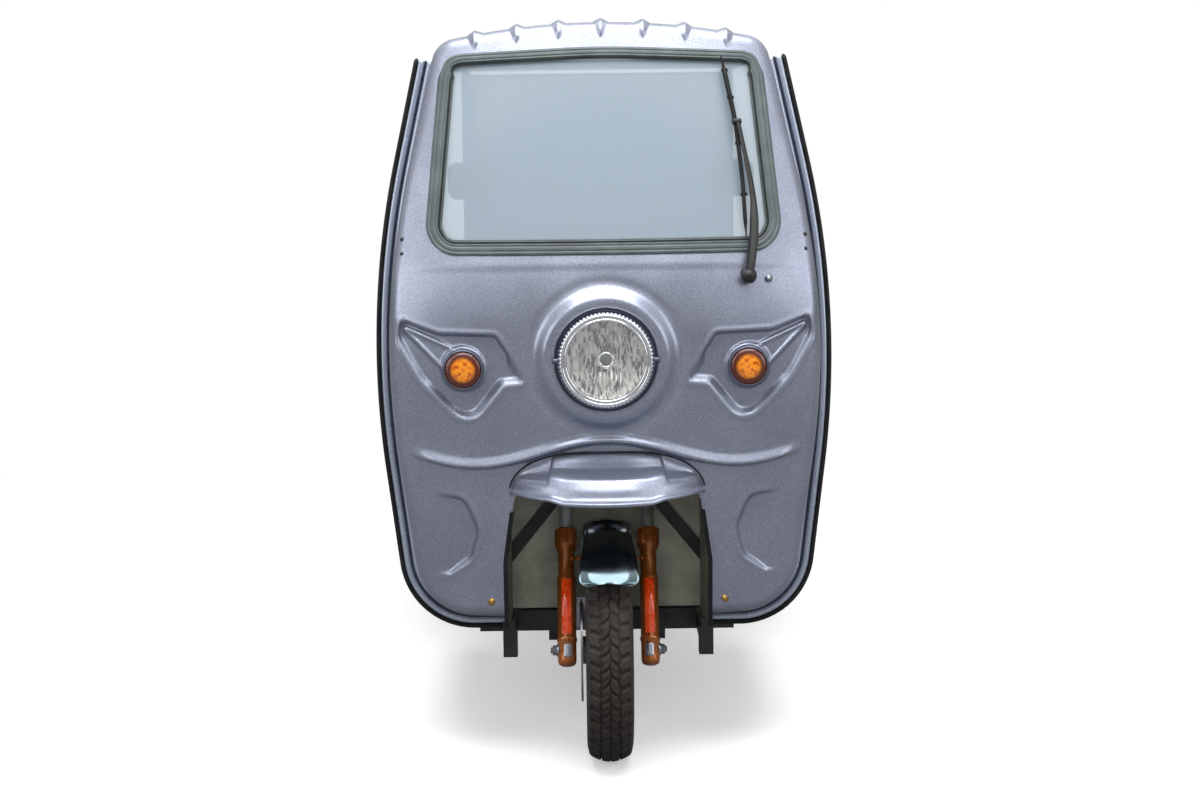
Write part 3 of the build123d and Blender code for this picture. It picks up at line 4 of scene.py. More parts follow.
import bmesh
import bpy
import numpy as np
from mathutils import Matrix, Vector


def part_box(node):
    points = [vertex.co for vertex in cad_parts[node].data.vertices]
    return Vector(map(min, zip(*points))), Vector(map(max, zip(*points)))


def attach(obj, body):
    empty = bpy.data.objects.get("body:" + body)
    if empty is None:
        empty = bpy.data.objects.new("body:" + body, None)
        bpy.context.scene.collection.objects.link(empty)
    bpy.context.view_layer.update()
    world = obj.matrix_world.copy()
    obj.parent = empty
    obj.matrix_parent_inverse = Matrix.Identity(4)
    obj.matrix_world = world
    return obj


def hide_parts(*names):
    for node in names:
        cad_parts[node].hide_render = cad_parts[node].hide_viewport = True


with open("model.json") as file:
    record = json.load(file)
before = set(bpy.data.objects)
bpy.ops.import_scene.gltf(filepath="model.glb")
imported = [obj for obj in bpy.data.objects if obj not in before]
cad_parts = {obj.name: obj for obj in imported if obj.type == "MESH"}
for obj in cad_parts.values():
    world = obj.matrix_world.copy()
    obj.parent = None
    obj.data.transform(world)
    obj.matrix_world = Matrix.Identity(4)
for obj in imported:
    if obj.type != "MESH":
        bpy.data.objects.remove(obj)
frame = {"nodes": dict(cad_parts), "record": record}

bl_info = {
    "name": "Electric Cargo Tricycle",
    "version": (1, 0, 0),
    "blender": (4, 5, 0),
    "location": "View3D > Sidebar > Tricycle",
    "description": "Dresses the packed cargo tricycle: pressed cab front, lamps, fork, tyres and stage",
    "category": "Add Mesh",
}

MM = 0.001

# Places and sizes of the cab front, in millimetres, with stations measured rearwards from the
# front axle, as the frame has them.
AXLE_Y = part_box("front_tyre")[0][1] + 0.255
AXLE_Z = 255
PLAN_RADIUS = 1400
NOSE_RADIUS = 550
UNDER = (-12, 170)
NOSE = (-161, 1018)
BROW = (126, 1800)
EDGE_RADIUS = 38
CROWN = (0, 1715)
EAVE = (378, 1649)
WAIST = (515, 1020)
SILL = (424, 335)
OUTLINE_RADII = (1783, 60, 2025, 130)
RIM_STATION = 108
RIM_BASE_Z = 290
RIM_LEAN = 124 / 1400
ROOF_SPLIT_Z = 1634
ARCH_POINTS = ((203, 668), (232, 470), (232, 60))
ARCH_RADII = (70, 200, 5)
SCREEN_POINTS = ((0, 1625), (368, 1611), (405, 1170))
SCREEN_RADII = (2000, 60, 70)
LAMP_Z = 941
LAMP_STATION = -176
LAMP_HOLE = 104
LENS_RADIUS = 87.5
INDICATOR_X = 317
INDICATOR_Z = 919
INDICATOR_STATION = -92
SKIN = 4
GLASS_THICK = 5
SEAL_WIDTH = 34
SEAL_LIP = 15
SEAL_PROUD = 7

# The rubber is narrower along the top and wider at the sides, and its top edge lies higher
SEAL_GROW = (-6, 3)
SEAL_RAISE = 8

# Grooves in the rubber, its locking strip and the pane's edge, as distances in from the opening
SEAL_GROOVES = (9, 20)
STRIP = (-26.6, -30.2)
PANE_IN = 19.0
SCREEN_MIDDLE = (0.0, 1400.0)

# The panel's mesh: cell size of its face, and width of the band along its rounded edge
FACE_CELL = 3.5
BAND_WIDTH = 38

# Distances of the band's columns from the outline, closer together where the rounding is
BAND_STEPS = np.concatenate((np.linspace(BAND_WIDTH, 14, 9)[:-1], 14 * np.linspace(1, 0, 12) ** 1.6))

# Step along the outline, and how close together points are joined
RUN_STEP = 6.0
WELD = 0.02

# The roof's ribs, as many and as far apart as the frame has them
RIB_COUNT = 7
RIB_PITCH = 95.5
RIB_RISE = 9.5
RIB_HALF = 19
ROOF_REAR = 1085

# What is pressed into the panel: half widths and heights of the outlines' corners
SWAGE_Z = 726
SWAGE_RISE = 30
SWAGE_HALF = 301
FIN = (
    (244, 995), (372, 998), (455, 1028), (468, 985), (418, 894), (308, 785), (228, 884), (186, 889),
    (183, 903),
)
FIN_RADII = (12, 60, 10, 20, 150, 45, 6, 5, 8)
FIN_TAIL = (444, 1006)
FIN_REACH = ((150, 755), (500, 1050))
POCKET = ((322, 620), (290, 545), (310, 478), (362, 440), (430, 440), (430, 636))
POCKET_RADII = (34, 60, 40, 10, 5, 5)
POCKET_REACH = ((260, 420), (470, 640))

# The visor: half width, heights of its tips and top, and station of its lip in the middle
VISOR_HALF = 222
VISOR_LOW = 646
VISOR_TOP = 728
VISOR_AHEAD = -232
VISOR_DEPTH = 208

# The visor's section from its joint to its lip: places along it, share ahead and share down
VISOR_SECTION = (
    (0.0, 0.20, 0.38, 0.60, 0.80, 0.92, 1.0),
    (0.0, 0.16, 0.30, 0.74, 0.87, 0.92, 1.0),
    (0.0, 0.20, 0.34, 0.50, 0.76, 0.94, 1.0),
)

# Grips and mirrors: where they are across and up, and the station of the mirrors' backs
GRIP_X = 350
GRIP_LENGTH = 125
MIRROR_X = 314
MIRROR_Z = 1326
MIRROR_BACK = 407

# The wiper: its blade and its arm from the pivot, with how far ahead of the glass they lie
BLADE = ((273, 1606), (301, 1459), (313, 1330), (317, 1204))
WIPER_ARM = ((319, 1118, 20), (326, 1150, 24), (336, 1230, 26), (335, 1300, 26), (306, 1459, 22))

# Small fastenings on the panel: place across, height, head's radius and finish
SCREWS = (
    (452, 1205, 3.6, "wiper_metal"), (452, 1173, 3.6, "wiper_metal"), (265, 377, 7.5, "brass"),
)
NOZZLE = (365, 1110)

# The moulding: how far outwards its beads lie and half the width of each
BEADS = (8, 28)
BEAD_HALF = 7.5

# Notches round the headlamp's bezel, and how far apart the reflector's flutes are
NOTCH_COUNT = 72
FLUTE_PITCH = 10.0

# Wheels and fork
TYRE_RADIUS = 255
TYRE_WIDTH = 102
BEAD_RADIUS = 152.4
TREAD_COUNT = 44
TREAD_DEPTH = 5.5

# Tyres: node, body, place across, station, and steps over the crown, down a wall and per block
TYRES = (
    ("front_tyre", "front_wheel", 0, 0, (57, 16, 14)),
    ("rear_tyre_left", "rear_wheel_left", -430, 1950, (45, 14, 11)),
    ("rear_tyre_right", "rear_wheel_right", 430, 1950, (45, 14, 11)),
)
RAKE = 24
YOKE_OFFSET = 45
LEG_X = 96
DISC_X = 62
FENDER_RADIUS = 303
FENDER_FRONT = 41
FENDER_REAR = 146
FENDER_CORNER = 22

# The seat's pads: radius of their edges, depth of the seam under the crown, and how far from the
# middle their channels run
PAD_EDGE = 22.0
PAD_SEAM = 14.0
PAD_SWELL = 6.0
CHANNEL_X = 105
PIPING_RADIUS = 3.6

# How a pad is swelled: size of its skin's cells in metres, pressure inside and frames of settling
SWELL_CELL = 0.006
SWELL_PRESSURE = 4
SWELL_FRAMES = 20

# Ribs along the grips and fins along the motor: how far apart they are, and the fins' depth
GRIP_RIB_PITCH = 6
MOTOR_FIN_PITCH = 9
MOTOR_FIN_DEPTH = 9

# Soft lights: name, place and target in metres from the front axle, and side
LIGHTS = (
    ("top", (0.0, -0.6, 4.2), (0.0, 0.6, 0.9), 3.6),
    ("left", (-3.6, -2.2, 2.2), (0.0, 0.0, 0.8), 2.4),
    ("right", (3.6, -2.2, 2.2), (0.0, 0.0, 0.8), 2.4),
    ("front", (0.0, -4.6, 0.9), (0.0, 0.0, 0.5), 2.0),
)

# The stage: half the floor's side, and the camera's place across, turn and roll in degrees
FLOOR_HALF = 40.0
CAMERA_X = -0.06
CAMERA_TURN = -0.54
CAMERA_ROLL = -0.75


class TricycleColours(bpy.types.PropertyGroup):
    """Colours of the painted and moulded finishes."""

    body: bpy.props.StringProperty(
        name="Body lacquer", description="Silver-blue metallic lacquer", default="#a6acbc")
    body_dark: bpy.props.StringProperty(
        name="Lacquer shade", description="Darker flake of the lacquer", default="#858a9c")
    bed: bpy.props.StringProperty(
        name="Bed enamel", description="Enamel of the load bed", default="#39415a")
    frame: bpy.props.StringProperty(
        name="Frame enamel", description="Black enamel of the frame", default="#16171b")
    fork: bpy.props.StringProperty(
        name="Fork lacquer", description="Bronze lacquer of the fork's lower legs", default="#c9742f")
    floor: bpy.props.StringProperty(
        name="Floor", description="Pale studio floor", default="#ffffff")


class TricycleStage(bpy.types.PropertyGroup):
    """The camera and the light."""

    lens: bpy.props.FloatProperty(
        name="Lens", description="Focal length on a 36 mm sensor, in millimetres",
        default=66.45, min=10, max=300)
    distance: bpy.props.FloatProperty(
        name="Distance", description="Camera ahead of the front axle", default=5.0,
        unit="LENGTH")
    height: bpy.props.FloatProperty(
        name="Height", description="Camera above the ground", default=1.428, unit="LENGTH")
    pitch: bpy.props.FloatProperty(
        name="Pitch", description="Camera looks down by this angle",
        default=math.radians(6.77), subtype="ANGLE")
    top_light: bpy.props.FloatProperty(
        name="Top light", description="Power of the soft light overhead", default=190,
        min=0, subtype="POWER")
    side_light: bpy.props.FloatProperty(
        name="Side light", description="Power of each soft light at the sides", default=40,
        min=0, subtype="POWER")
    front_light: bpy.props.FloatProperty(
        name="Front light", description="Power of the soft light ahead, low down", default=46,
        min=0, subtype="POWER")


def linear(colour):
    """An sRGB hex colour as linear red, green, blue and an alpha of one."""
    parts = [int(colour[i:i + 2], 16) / 255 for i in (1, 3, 5)]
    curved = [c / 12.92 if c <= 0.04045 else ((c + 0.055) / 1.055) ** 2.4 for c in parts]
    return (*curved, 1.0)


def add_node(tree, kind, links=None, **settings):
    """Adds a node; a link's value is a socket to join or a number to set."""
    made = tree.nodes.new(kind)
    for name, value in settings.items():
        setattr(made, name, value)
    for name, value in (links or {}).items():
        if isinstance(value, bpy.types.NodeSocket):
            tree.links.new(value, made.inputs[name])
        else:
            made.inputs[name].default_value = value
    return made


def new_material(name, **sockets):
    """A material with its tree, its shader and the object's coordinates."""
    material = bpy.data.materials.new(name)
    material.use_nodes = True
    tree = material.node_tree
    shader = tree.nodes["Principled BSDF"]
    for socket, value in sockets.items():
        shader.inputs[socket.replace("_", " ")].default_value = value
    place = add_node(tree, "ShaderNodeTexCoord").outputs["Object"]
    return material, tree, shader, place


def math_node(tree, operation, *values, kind="ShaderNodeMath", output=0, **settings):
    """What an arithmetic node gives for its values."""
    return add_node(tree, kind, dict(enumerate(values)), operation=operation, **settings).outputs[output]


def ramp(tree, value, low, high, start=0.0, end=1.0, ease="LINEAR"):
    """A value mapped from low..high to start..end, and level beyond them."""
    return add_node(tree, "ShaderNodeMapRange", {
        "Value": value, "From Min": low, "From Max": high, "To Min": start, "To Max": end},
        interpolation_type=ease).outputs["Result"]


def parts_of(tree, vector):
    """The three parts of a vector, by X, Y and Z."""
    return add_node(tree, "ShaderNodeSeparateXYZ", {"Vector": vector}).outputs


def mottle(tree, place, size, low, high, detail=4.0):
    """Cloudy noise of a size in millimetres, mapped from 0.35..0.65 to a range."""
    noise = add_node(tree, "ShaderNodeTexNoise", {"Vector": place, "Scale": 1000 / size, "Detail": detail})
    return ramp(tree, noise.outputs["Fac"], 0.35, 0.65, low, high)


def facets(tree, vector, size, spread=1.0):
    """Square facets of a size in millimetres: how far a point is from the middle of its own, and
    a tone that each has to itself."""
    cells = add_node(tree, "ShaderNodeTexVoronoi", {
        "Vector": vector, "Scale": 1000 / size, "Randomness": spread}, distance="CHEBYCHEV").outputs
    return cells["Distance"], parts_of(tree, cells["Color"])["X"]


def blend(tree, factor, first, second):
    """A colour between two, by a factor."""
    mix = add_node(tree, "ShaderNodeMix", {"Factor": factor}, data_type="RGBA")
    for index, value in ((6, first), (7, second)):
        if isinstance(value, bpy.types.NodeSocket):
            tree.links.new(value, mix.inputs[index])
        else:
            mix.inputs[index].default_value = value
    return mix.outputs[2]


def dusted(tree, place, size, most, colour, gain, lift):
    """A colour that goes part of the way to a paler one, in patches of a size."""
    base = linear(colour)
    pale = tuple(min(1.0, c * gain + lift) for c in base[:3]) + (1.0,)
    return blend(tree, mottle(tree, place, size, 0.0, most), base, pale)


def joined(tree, shader, **sources):
    """Joins sockets to the shader's inputs, by name."""
    for name, source in sources.items():
        tree.links.new(source, shader.inputs[name.replace("_", " ")])


def roughen(tree, shader, height, depth, strength=1.0):
    """Bump of a depth in millimetres from a height of 0 to 1."""
    bump = add_node(tree, "ShaderNodeBump", {
        "Height": height, "Distance": depth * MM, "Strength": strength})
    joined(tree, shader, Normal=bump.outputs["Normal"])


def handled(tree, shader, place, low, high):
    """Handling marks on bright metal: a roughness between two values, and faint dents."""
    joined(tree, shader, Roughness=mottle(tree, place, 60, low, high))
    roughen(tree, shader, mottle(tree, place, 25, 0.0, 1.0), 0.02, 0.15)


def lacquer(name, colour, shade, flake=2.0, metallic=0.4, roughness=0.38, coat=0.25):
    """Metallic lacquer, sprayed: fine flake that sparkles, under a thin clear coat."""
    material, tree, shader, place = new_material(
        name, Metallic=metallic, Coat_Weight=coat, Coat_Roughness=0.12)
    grain = mottle(tree, place, flake, 0.0, 1.0, 1.0)
    cloud = mottle(tree, place, 160, 0.0, 0.3)
    total = math_node(tree, "ADD", grain, cloud, use_clamp=True)
    joined(tree, shader, Base_Color=blend(tree, total, linear(colour), linear(shade)),
           Roughness=mottle(tree, place, 90, roughness - 0.04, roughness + 0.05))
    roughen(tree, shader, grain, 0.05, 0.35)
    return material


def glowing_ringed_lens(name, inner, middle, outer):
    """Amber lens, injection moulded: facets about the bulb, each painted a tone of its own as painted
    glints, and lighter there than at its rim as painted light and shade; the whole lens glows faintly in
    its own tint, a painted glow, though it is not lit. The ring is the distance from either lamp's middle,
    read across, up and mirrored."""
    # Emission Strength paints a faint glow in the lens's own tint: the lamp is not lit.
    material, tree, shader, place = new_material(
        name, Roughness=0.12, Coat_Weight=0.4, Emission_Strength=0.15)
    parts = parts_of(tree, place)
    aside = math_node(tree, "ABSOLUTE", parts["X"])
    across = math_node(tree, "SUBTRACT", aside, INDICATOR_X * MM)
    above = math_node(tree, "SUBTRACT", parts["Z"], INDICATOR_Z * MM)
    flat = add_node(tree, "ShaderNodeCombineXYZ", {"X": across, "Y": above}).outputs[0]
    ring = math_node(tree, "LENGTH", flat, kind="ShaderNodeVectorMath", output="Value")
    dome, tone = facets(tree, flat, 7.0)
    # Painted glints in each facet's own tone, and painted light and shade: lighter about the bulb, darker
    # towards the rim.
    core = blend(tree, math_node(tree, "POWER", tone, 2.2), linear(inner), linear(middle))
    share = ramp(tree, ring, 0.020, 0.031, ease="SMOOTHSTEP")
    tint = blend(tree, share, core, linear(outer))
    joined(tree, shader, Base_Color=tint, Emission_Color=tint)
    roughen(tree, shader, dome, 0.8, 0.5)
    return material


def painted_facet_reflections(name, dark, light):
    """Reflector, moulded and aluminised: upright facets 3.5 mm wide and 14 mm tall, each turned a little
    its own way by a bump and painted a tone of its own between dark and light, with broad patches over
    them: painted reflections, so that neighbours shine light and dark."""
    material, tree, shader, place = new_material(name, Metallic=0.5, Roughness=0.3)
    sized = math_node(tree, "MULTIPLY", place, (1.0, 0.15, 0.25), kind="ShaderNodeVectorMath")
    dome, tone = facets(tree, sized, 3.5, 0.75)
    broad = mottle(tree, place, 40, -0.2, 0.3, 1.0)
    grey = ramp(tree, math_node(tree, "ADD", tone, broad), 0.05, 0.75)
    # Painted reflections: the base colour goes between dark and light by each facet's own tone and by
    # broad patches.
    joined(tree, shader, Base_Color=blend(tree, grey, linear(dark), linear(light)))
    roughen(tree, shader, dome, 0.8, 0.4)
    return material


def chrome_painted_reflection(name, facing, edge):
    """Chromed sheet, polished: painted dark where it is seen square on and bright where it turns away, a
    painted reflection.
    """
    material, tree, shader, place = new_material(name, Metallic=1.0)
    # Painted reflection: the base colour goes from dark where the sheet faces the eye to bright where it
    # turns away.
    turn = add_node(tree, "ShaderNodeLayerWeight", {"Blend": 0.35}).outputs["Facing"]
    share = ramp(tree, turn, 0.1, 0.8)
    joined(tree, shader, Base_Color=blend(tree, share, linear(facing), linear(edge)))
    handled(tree, shader, place, 0.1, 0.2)
    return material


def enamel(name, colour, roughness=0.34):
    """Sprayed enamel: smooth, slightly dusty, with faint orange peel."""
    material, tree, shader, place = new_material(name)
    joined(tree, shader, Base_Color=dusted(tree, place, 70, 0.6, colour, 1.5, 0.012),
           Roughness=mottle(tree, place, 45, roughness - 0.05, roughness + 0.12))
    roughen(tree, shader, mottle(tree, place, 6.0, 0.0, 1.0, 2.0), 0.06, 0.3)
    return material


def bright_metal(name, colour, roughness):
    """Plated or polished metal, with faint handling marks."""
    material, tree, shader, place = new_material(name, Metallic=1.0, Base_Color=linear(colour))
    handled(tree, shader, place, roughness * 0.7, roughness * 1.4)
    return material


def moulded(name, colour, roughness=0.55, grain=1.6, depth=0.12, gloss=0.5):
    """Moulded plastic or rubber with a fine all-over grain."""
    material, tree, shader, place = new_material(name, Specular_IOR_Level=gloss)
    joined(tree, shader, Base_Color=dusted(tree, place, 55, 0.7, colour, 1.6, 0.01),
           Roughness=mottle(tree, place, 30, roughness - 0.06, roughness + 0.1))
    roughen(tree, shader, mottle(tree, place, grain, 0.0, 1.0, 2.0), depth, 0.6)
    return material


def clear(name, colour, alpha, roughness=0.03, gloss=0.5):
    """Clear glass or plastic: partly seen through, with a gloss."""
    material, tree, shader, place = new_material(
        name, Base_Color=linear(colour), Alpha=alpha, IOR=1.5, Specular_IOR_Level=gloss)
    joined(tree, shader, Roughness=mottle(tree, place, 200, roughness, roughness + 0.02))
    material.blend_method = "BLEND"
    return material


def glowing_lens_plastic(name, colour, shade):
    """Tinted lens, injection moulded: deep colour with bright glints, and a faint glow in its own tint
    that is painted light, for the lens is not lit.
    """
    # Emission Strength paints a faint glow in the lens's own tint: painted light.
    material, tree, shader, place = new_material(
        name, Roughness=0.08, Coat_Weight=1.0, Emission_Strength=0.12)
    tint = blend(tree, mottle(tree, place, 9, 0.0, 1.0, 1.0), linear(colour), linear(shade))
    joined(tree, shader, Base_Color=tint, Emission_Color=tint)
    return material


def make_finishes():
    """All the finishes, by name."""
    colours = bpy.context.scene.tricycle_colours
    return {
        "body_paint": lacquer(
            "Metallic lacquer, sprayed", colours.body, colours.body_dark, metallic=0.72, roughness=0.34),
        "frame_paint": enamel("Black enamel, sprayed", colours.frame),
        "bed_paint": enamel("Blue-grey enamel, sprayed", colours.bed, 0.4),
        "bright_moulding": lacquer("Moulding lacquer, sprayed", "#b4bccd", "#9aa3b6", roughness=0.25),
        "rubber": moulded("Black rubber, extruded", "#0f1012", 0.6, gloss=0.25),
        "seal_rubber": moulded("Grey rubber, extruded", "#414b4c", 0.42, 2.5, 0.05),
        # The screen's pale blue-grey, more than half opaque, is partly the glass's tint and partly a
        # painted reflection of its pale surroundings.
        "screen_glass": clear("Laminated glass, curved", "#a3b2bd", 0.58, 0.12, 0.2),
        "chrome": bright_metal("Chromed steel, polished", "#e4e6ea", 0.08),
        "lamp_glass": clear("Clear acrylic, moulded", "#eef2f4", 0.1),
        "amber_lens": glowing_ringed_lens("Amber acrylic, moulded", "#f09018", "#a83c06", "#4f1602"),
        "reflex_lens": glowing_lens_plastic("Orange-red acrylic, moulded", "#f2521a", "#d0380e"),
        "red_lens": glowing_lens_plastic("Red acrylic, moulded", "#b01208", "#5c0503"),
        "dark_plastic": moulded("Black polypropylene, grained", "#1d1e20", 0.6),
        "fork_bronze": lacquer("Bronze lacquer, sprayed", colours.fork, "#8a4a1a", 1.6, 0.5, 0.3, 0.5),
        "steel": bright_metal("Zinc-plated steel", "#9a9da2", 0.35),
        "rim_paint": lacquer("Silver enamel, sprayed", "#a9acb2", "#8b8f96", 1.4, 0.6, 0.4, 0.2),
        "tyre": moulded("Tyre rubber, vulcanised", "#241f1b", 0.75, 2.2, 0.2),
        "vinyl": moulded("Black vinyl, grained", "#1b1b1d", 0.5, 2.8, 0.2),
        "insert_blue": moulded("Blue-black vinyl, extruded", "#141a2e", 0.3, 3.0, 0.03),
        "dark_lacquer": lacquer("Grey lacquer, sprayed", "#6a6f80", "#4a4e5c", roughness=0.3),
        "reflector": painted_facet_reflections("Aluminised reflector, moulded", "#2c2b28", "#e8e6e0"),
        "satin_chrome": bright_metal("Chromed tube, worn satin", "#eef0f2", 0.42),
        "worn_chrome": chrome_painted_reflection("Chromed sheet, pressed", "#5c6d74", "#cfd8dc"),
        "brass": bright_metal("Brass, turned", "#c09a52", 0.3),
        "liner": moulded("Grey polypropylene, pressed", "#a5a497", 0.7, 5.0, 0.3, 0.3),
        "piping": moulded("Grey vinyl cord, extruded", "#3c3e42", 0.45, 2.0, 0.05),
        "mirror_glass": bright_metal("Silvered glass, plane", "#e9edf0", 0.03),
        "wiper_metal": enamel("Black lacquer, sprayed on steel", "#08090a", 0.4),
        "cast_alloy": bright_metal("Aluminium, die-cast", "#a3a6a8", 0.5),
        "battery_case": moulded("Black polypropylene, moulded", "#202124", 0.5),
        "mirror": moulded("Black acrylonitrile, moulded", "#17181a", 0.35),
    }


FINISH = {}

# Nodes whose finish differs from their slot's
NODE_FINISH = {"stanchions": "satin_chrome", "wheel_house": "liner"}


def unit(vectors):
    """Vectors brought to a length of one; one of no length stays as it is."""
    return vectors / np.maximum(np.linalg.norm(vectors, axis=-1), 1e-9)[..., None]


def rounded(corners, radii, step):
    """Corners joined into a closed line with each one rounded: the arc that is tangent to both
    its sides, then every side and arc cut into steps, as an array of x and z."""
    corners = np.asarray(corners, float)
    radii = np.broadcast_to(np.asarray(radii, float), (len(corners),))
    before = unit(np.roll(corners, 1, 0) - corners)
    after = unit(np.roll(corners, -1, 0) - corners)
    half = np.arccos(np.clip((before * after).sum(1), -1, 1)) / 2
    centres = corners + unit(before + after) * (radii / np.sin(half))[:, None]
    runs = []
    for corner, centre, radius, one, two, angle in zip(corners, centres, radii, before, after, half):
        start = corner + one * radius / np.tan(angle) - centre
        end = corner + two * radius / np.tan(angle) - centre
        first = np.arctan2(start[1], start[0])
        turn = np.arctan2(start[0] * end[1] - start[1] * end[0], (start * end).sum())
        share = np.linspace(0, 1, max(3, int(abs(turn) * radius / step) + 2))
        angles = first + turn * share
        runs.append(centre + radius * np.column_stack((np.cos(angles), np.sin(angles))))
    return evenly(np.vstack(runs + [runs[0][:1]]), step)


def evenly(points, step):
    """A line of points cut again into steps of about one length."""
    run = np.concatenate(([0], np.cumsum(np.linalg.norm(np.diff(points, axis=0), axis=1))))
    cuts = np.linspace(0, run[-1], max(4, int(run[-1] / step) + 1))
    return np.column_stack([np.interp(cuts, run, column) for column in points.T])


def relaxed(values, times):
    """Values evened out along a line a number of times, with both ends kept."""
    for _ in range(times):
        values[1:-1] = (values[:-2] + 2 * values[1:-1] + values[2:]) / 4
    return values


def both_sides(half):
    """Half an outline, from the middle or a side, with its mirror image."""
    half = np.asarray(half, float)
    other = half[half[:, 0] > 0][::-1] * (-1, 1)
    return np.vstack((half, other))


def nearest(points, line):
    """Signed distance to a closed line, positive inside, and the nearest point of the line."""
    a, b = line[:-1], line[1:]
    along = b - a
    length = np.maximum((along ** 2).sum(1), 1e-9)
    found = np.empty(len(points))
    place = np.empty((len(points), 2))
    for start in range(0, len(points), 4000):
        p = points[start:start + 4000, None]
        share = np.clip(((p - a) * along).sum(2) / length, 0, 1)
        foot = a + share[..., None] * along
        gap = ((p - foot) ** 2).sum(2)
        pick = gap.argmin(1)
        rows = np.arange(len(pick))
        above = (a[:, 1] > p[..., 1]) != (b[:, 1] > p[..., 1])
        rise = np.where(np.abs(along[:, 1]) < 1e-9, 1e-9, along[:, 1])
        crossing = p[..., 0] < a[:, 0] + (p[..., 1] - a[:, 1]) / rise * along[:, 0]
        inside = (above & crossing).sum(1) % 2 == 1
        found[start:start + 4000] = np.sqrt(gap[rows, pick]) * np.where(inside, 1, -1)
        place[start:start + 4000] = foot[rows, pick]
    return found, place


def smooth(value, low, high):
    """Goes from 0 to 1 between two values, level at both ends."""
    share = np.clip((value - low) / (high - low), 0, 1)
    return share * share * (3 - 2 * share)


def profile_station(z):
    """Side profile of the cab front: two straight lines joined by an arc round the nose."""
    under, nose, brow = (np.array(p, float) for p in (UNDER, NOSE, BROW))
    low, high = unit(nose - under), unit(brow - nose)
    reach = NOSE_RADIUS * math.tan(math.acos(float(low @ high)) / 2)
    start = nose - low * reach
    end = nose + high * reach
    centre = start + np.array((low[1], -low[0])) * NOSE_RADIUS
    arc = centre[0] - np.sqrt(np.maximum(NOSE_RADIUS ** 2 - (z - centre[1]) ** 2, 0))
    below = under[0] + (z - under[1]) * low[0] / low[1]
    above = nose[0] + (z - nose[1]) * high[0] / high[1]
    return np.where(z < start[1], below, np.where(z > end[1], above, arc))


def swept_station(x, z):
    """The side profile swept round a vertical axis, without its edge rounding."""
    pivot = NOSE[0] + PLAN_RADIUS
    return pivot - np.sqrt((pivot - profile_station(z)) ** 2 - x ** 2)


def on_face(x, z, ahead=0.0):
    """Points a distance ahead of the swept face."""
    x, z = np.broadcast_arrays(np.asarray(x, float), np.asarray(z, float))
    return np.stack((x, swept_station(x, z) - ahead, z), -1)


def cab_outline():
    """The cab front's outline seen from the front."""
    corners = both_sides((CROWN, EAVE, WAIST, SILL))
    half = np.array(OUTLINE_RADII)
    return rounded(corners, np.concatenate((half, half[:0:-1])), 5.0)


def edge_station(x, z, inward, away):
    """Station of the swept face where its edge is rounded: an arc tangent to the face, which
    slopes by the face's fall along the outward direction, and to the side wall."""
    step = 0.5
    slope = (swept_station(x + away[..., 0] * step, z + away[..., 1] * step)
             - swept_station(x - away[..., 0] * step, z - away[..., 1] * step)) / (2 * step)
    lean = np.arctan(slope)
    face = swept_station(x, z)
    left = np.clip(EDGE_RADIUS - inward, 0, EDGE_RADIUS)
    arc = (face - slope * left + EDGE_RADIUS / np.cos(lean)
           - np.sqrt(np.maximum(EDGE_RADIUS ** 2 - left ** 2, 0)))
    return np.where(inward < EDGE_RADIUS * (1 - np.sin(lean)), arc, face)


def swage_height(x, z):
    """The ridge over the visor, a cosine wave from side to side: a crest whose lower side falls
    to a panel set back a little, fading out before the edge."""
    line = SWAGE_Z + SWAGE_RISE * np.cos(np.pi * x / SWAGE_HALF)
    slope = SWAGE_RISE * np.pi / SWAGE_HALF * np.sin(np.pi * x / SWAGE_HALF)
    above = (z - line) / np.sqrt(1 + slope ** 2)
    ramp = np.clip(1 - above / 23, 0, 1)
    crest = 13.0 * np.where(above > 0, 0.6 * ramp + 0.4 * smooth(ramp, 0, 1), 1 - smooth(-above, 0, 8))
    groove = 2.4 * np.exp(-((above - 12) / 3.2) ** 2) * (1 - smooth(np.abs(x), 70, 160))
    step = -3.0 * smooth(-above, 0, 10) * smooth(above, -150, -20)
    return (crest - groove + step) * (1 - smooth(np.abs(x), 380, 455))


def pressed(x, z, reach, depth_of):
    """What a depth function gives between the two corners of its reach, and nothing beyond."""
    points = np.column_stack((np.abs(x), z))
    close = ((points > reach[0]) & (points < reach[1])).all(1)
    height = np.zeros(len(points))
    height[close] = depth_of(points[close])
    return height


def fin_depth(p):
    """The pressed fin about each indicator: a floor set back, with a bevelled lower edge, two
    ribs that run to its outer corner and a collar round the lamp."""
    inside, _ = nearest(p, rounded(FIN, FIN_RADII, 3.0))
    bevel = 5 + 14 * smooth(870 + 0.72 * np.abs(p[:, 0] - 303) - p[:, 1], -30, 6)
    depth = -17 * smooth(inside, -2, bevel) + 2.4 * np.exp(-((inside + 6) / 4.5) ** 2)
    lamp = np.array((INDICATOR_X, INDICATOR_Z))
    tail = FIN_TAIL - lamp
    along = unit(tail)
    run = (p - lamp) @ along
    off = (p - lamp) @ np.array((-along[1], along[0]))
    spread = 30 * (1 - np.clip(run / np.linalg.norm(tail), 0, 1)) + 3
    rib = np.exp(-((np.abs(off) - spread) / 4.2) ** 2) * smooth(run, 20, 60)
    fill = smooth(spread - np.abs(off), -2, 4) * smooth(run, 15, 50) * 0.35
    depth += (8.5 * rib + 7.0 * fill) * smooth(inside, 3, 14)
    ring = np.linalg.norm(p - lamp, axis=1)
    return depth + 9 * smooth(-ring, -55, -47) * smooth(inside, 0, 8)


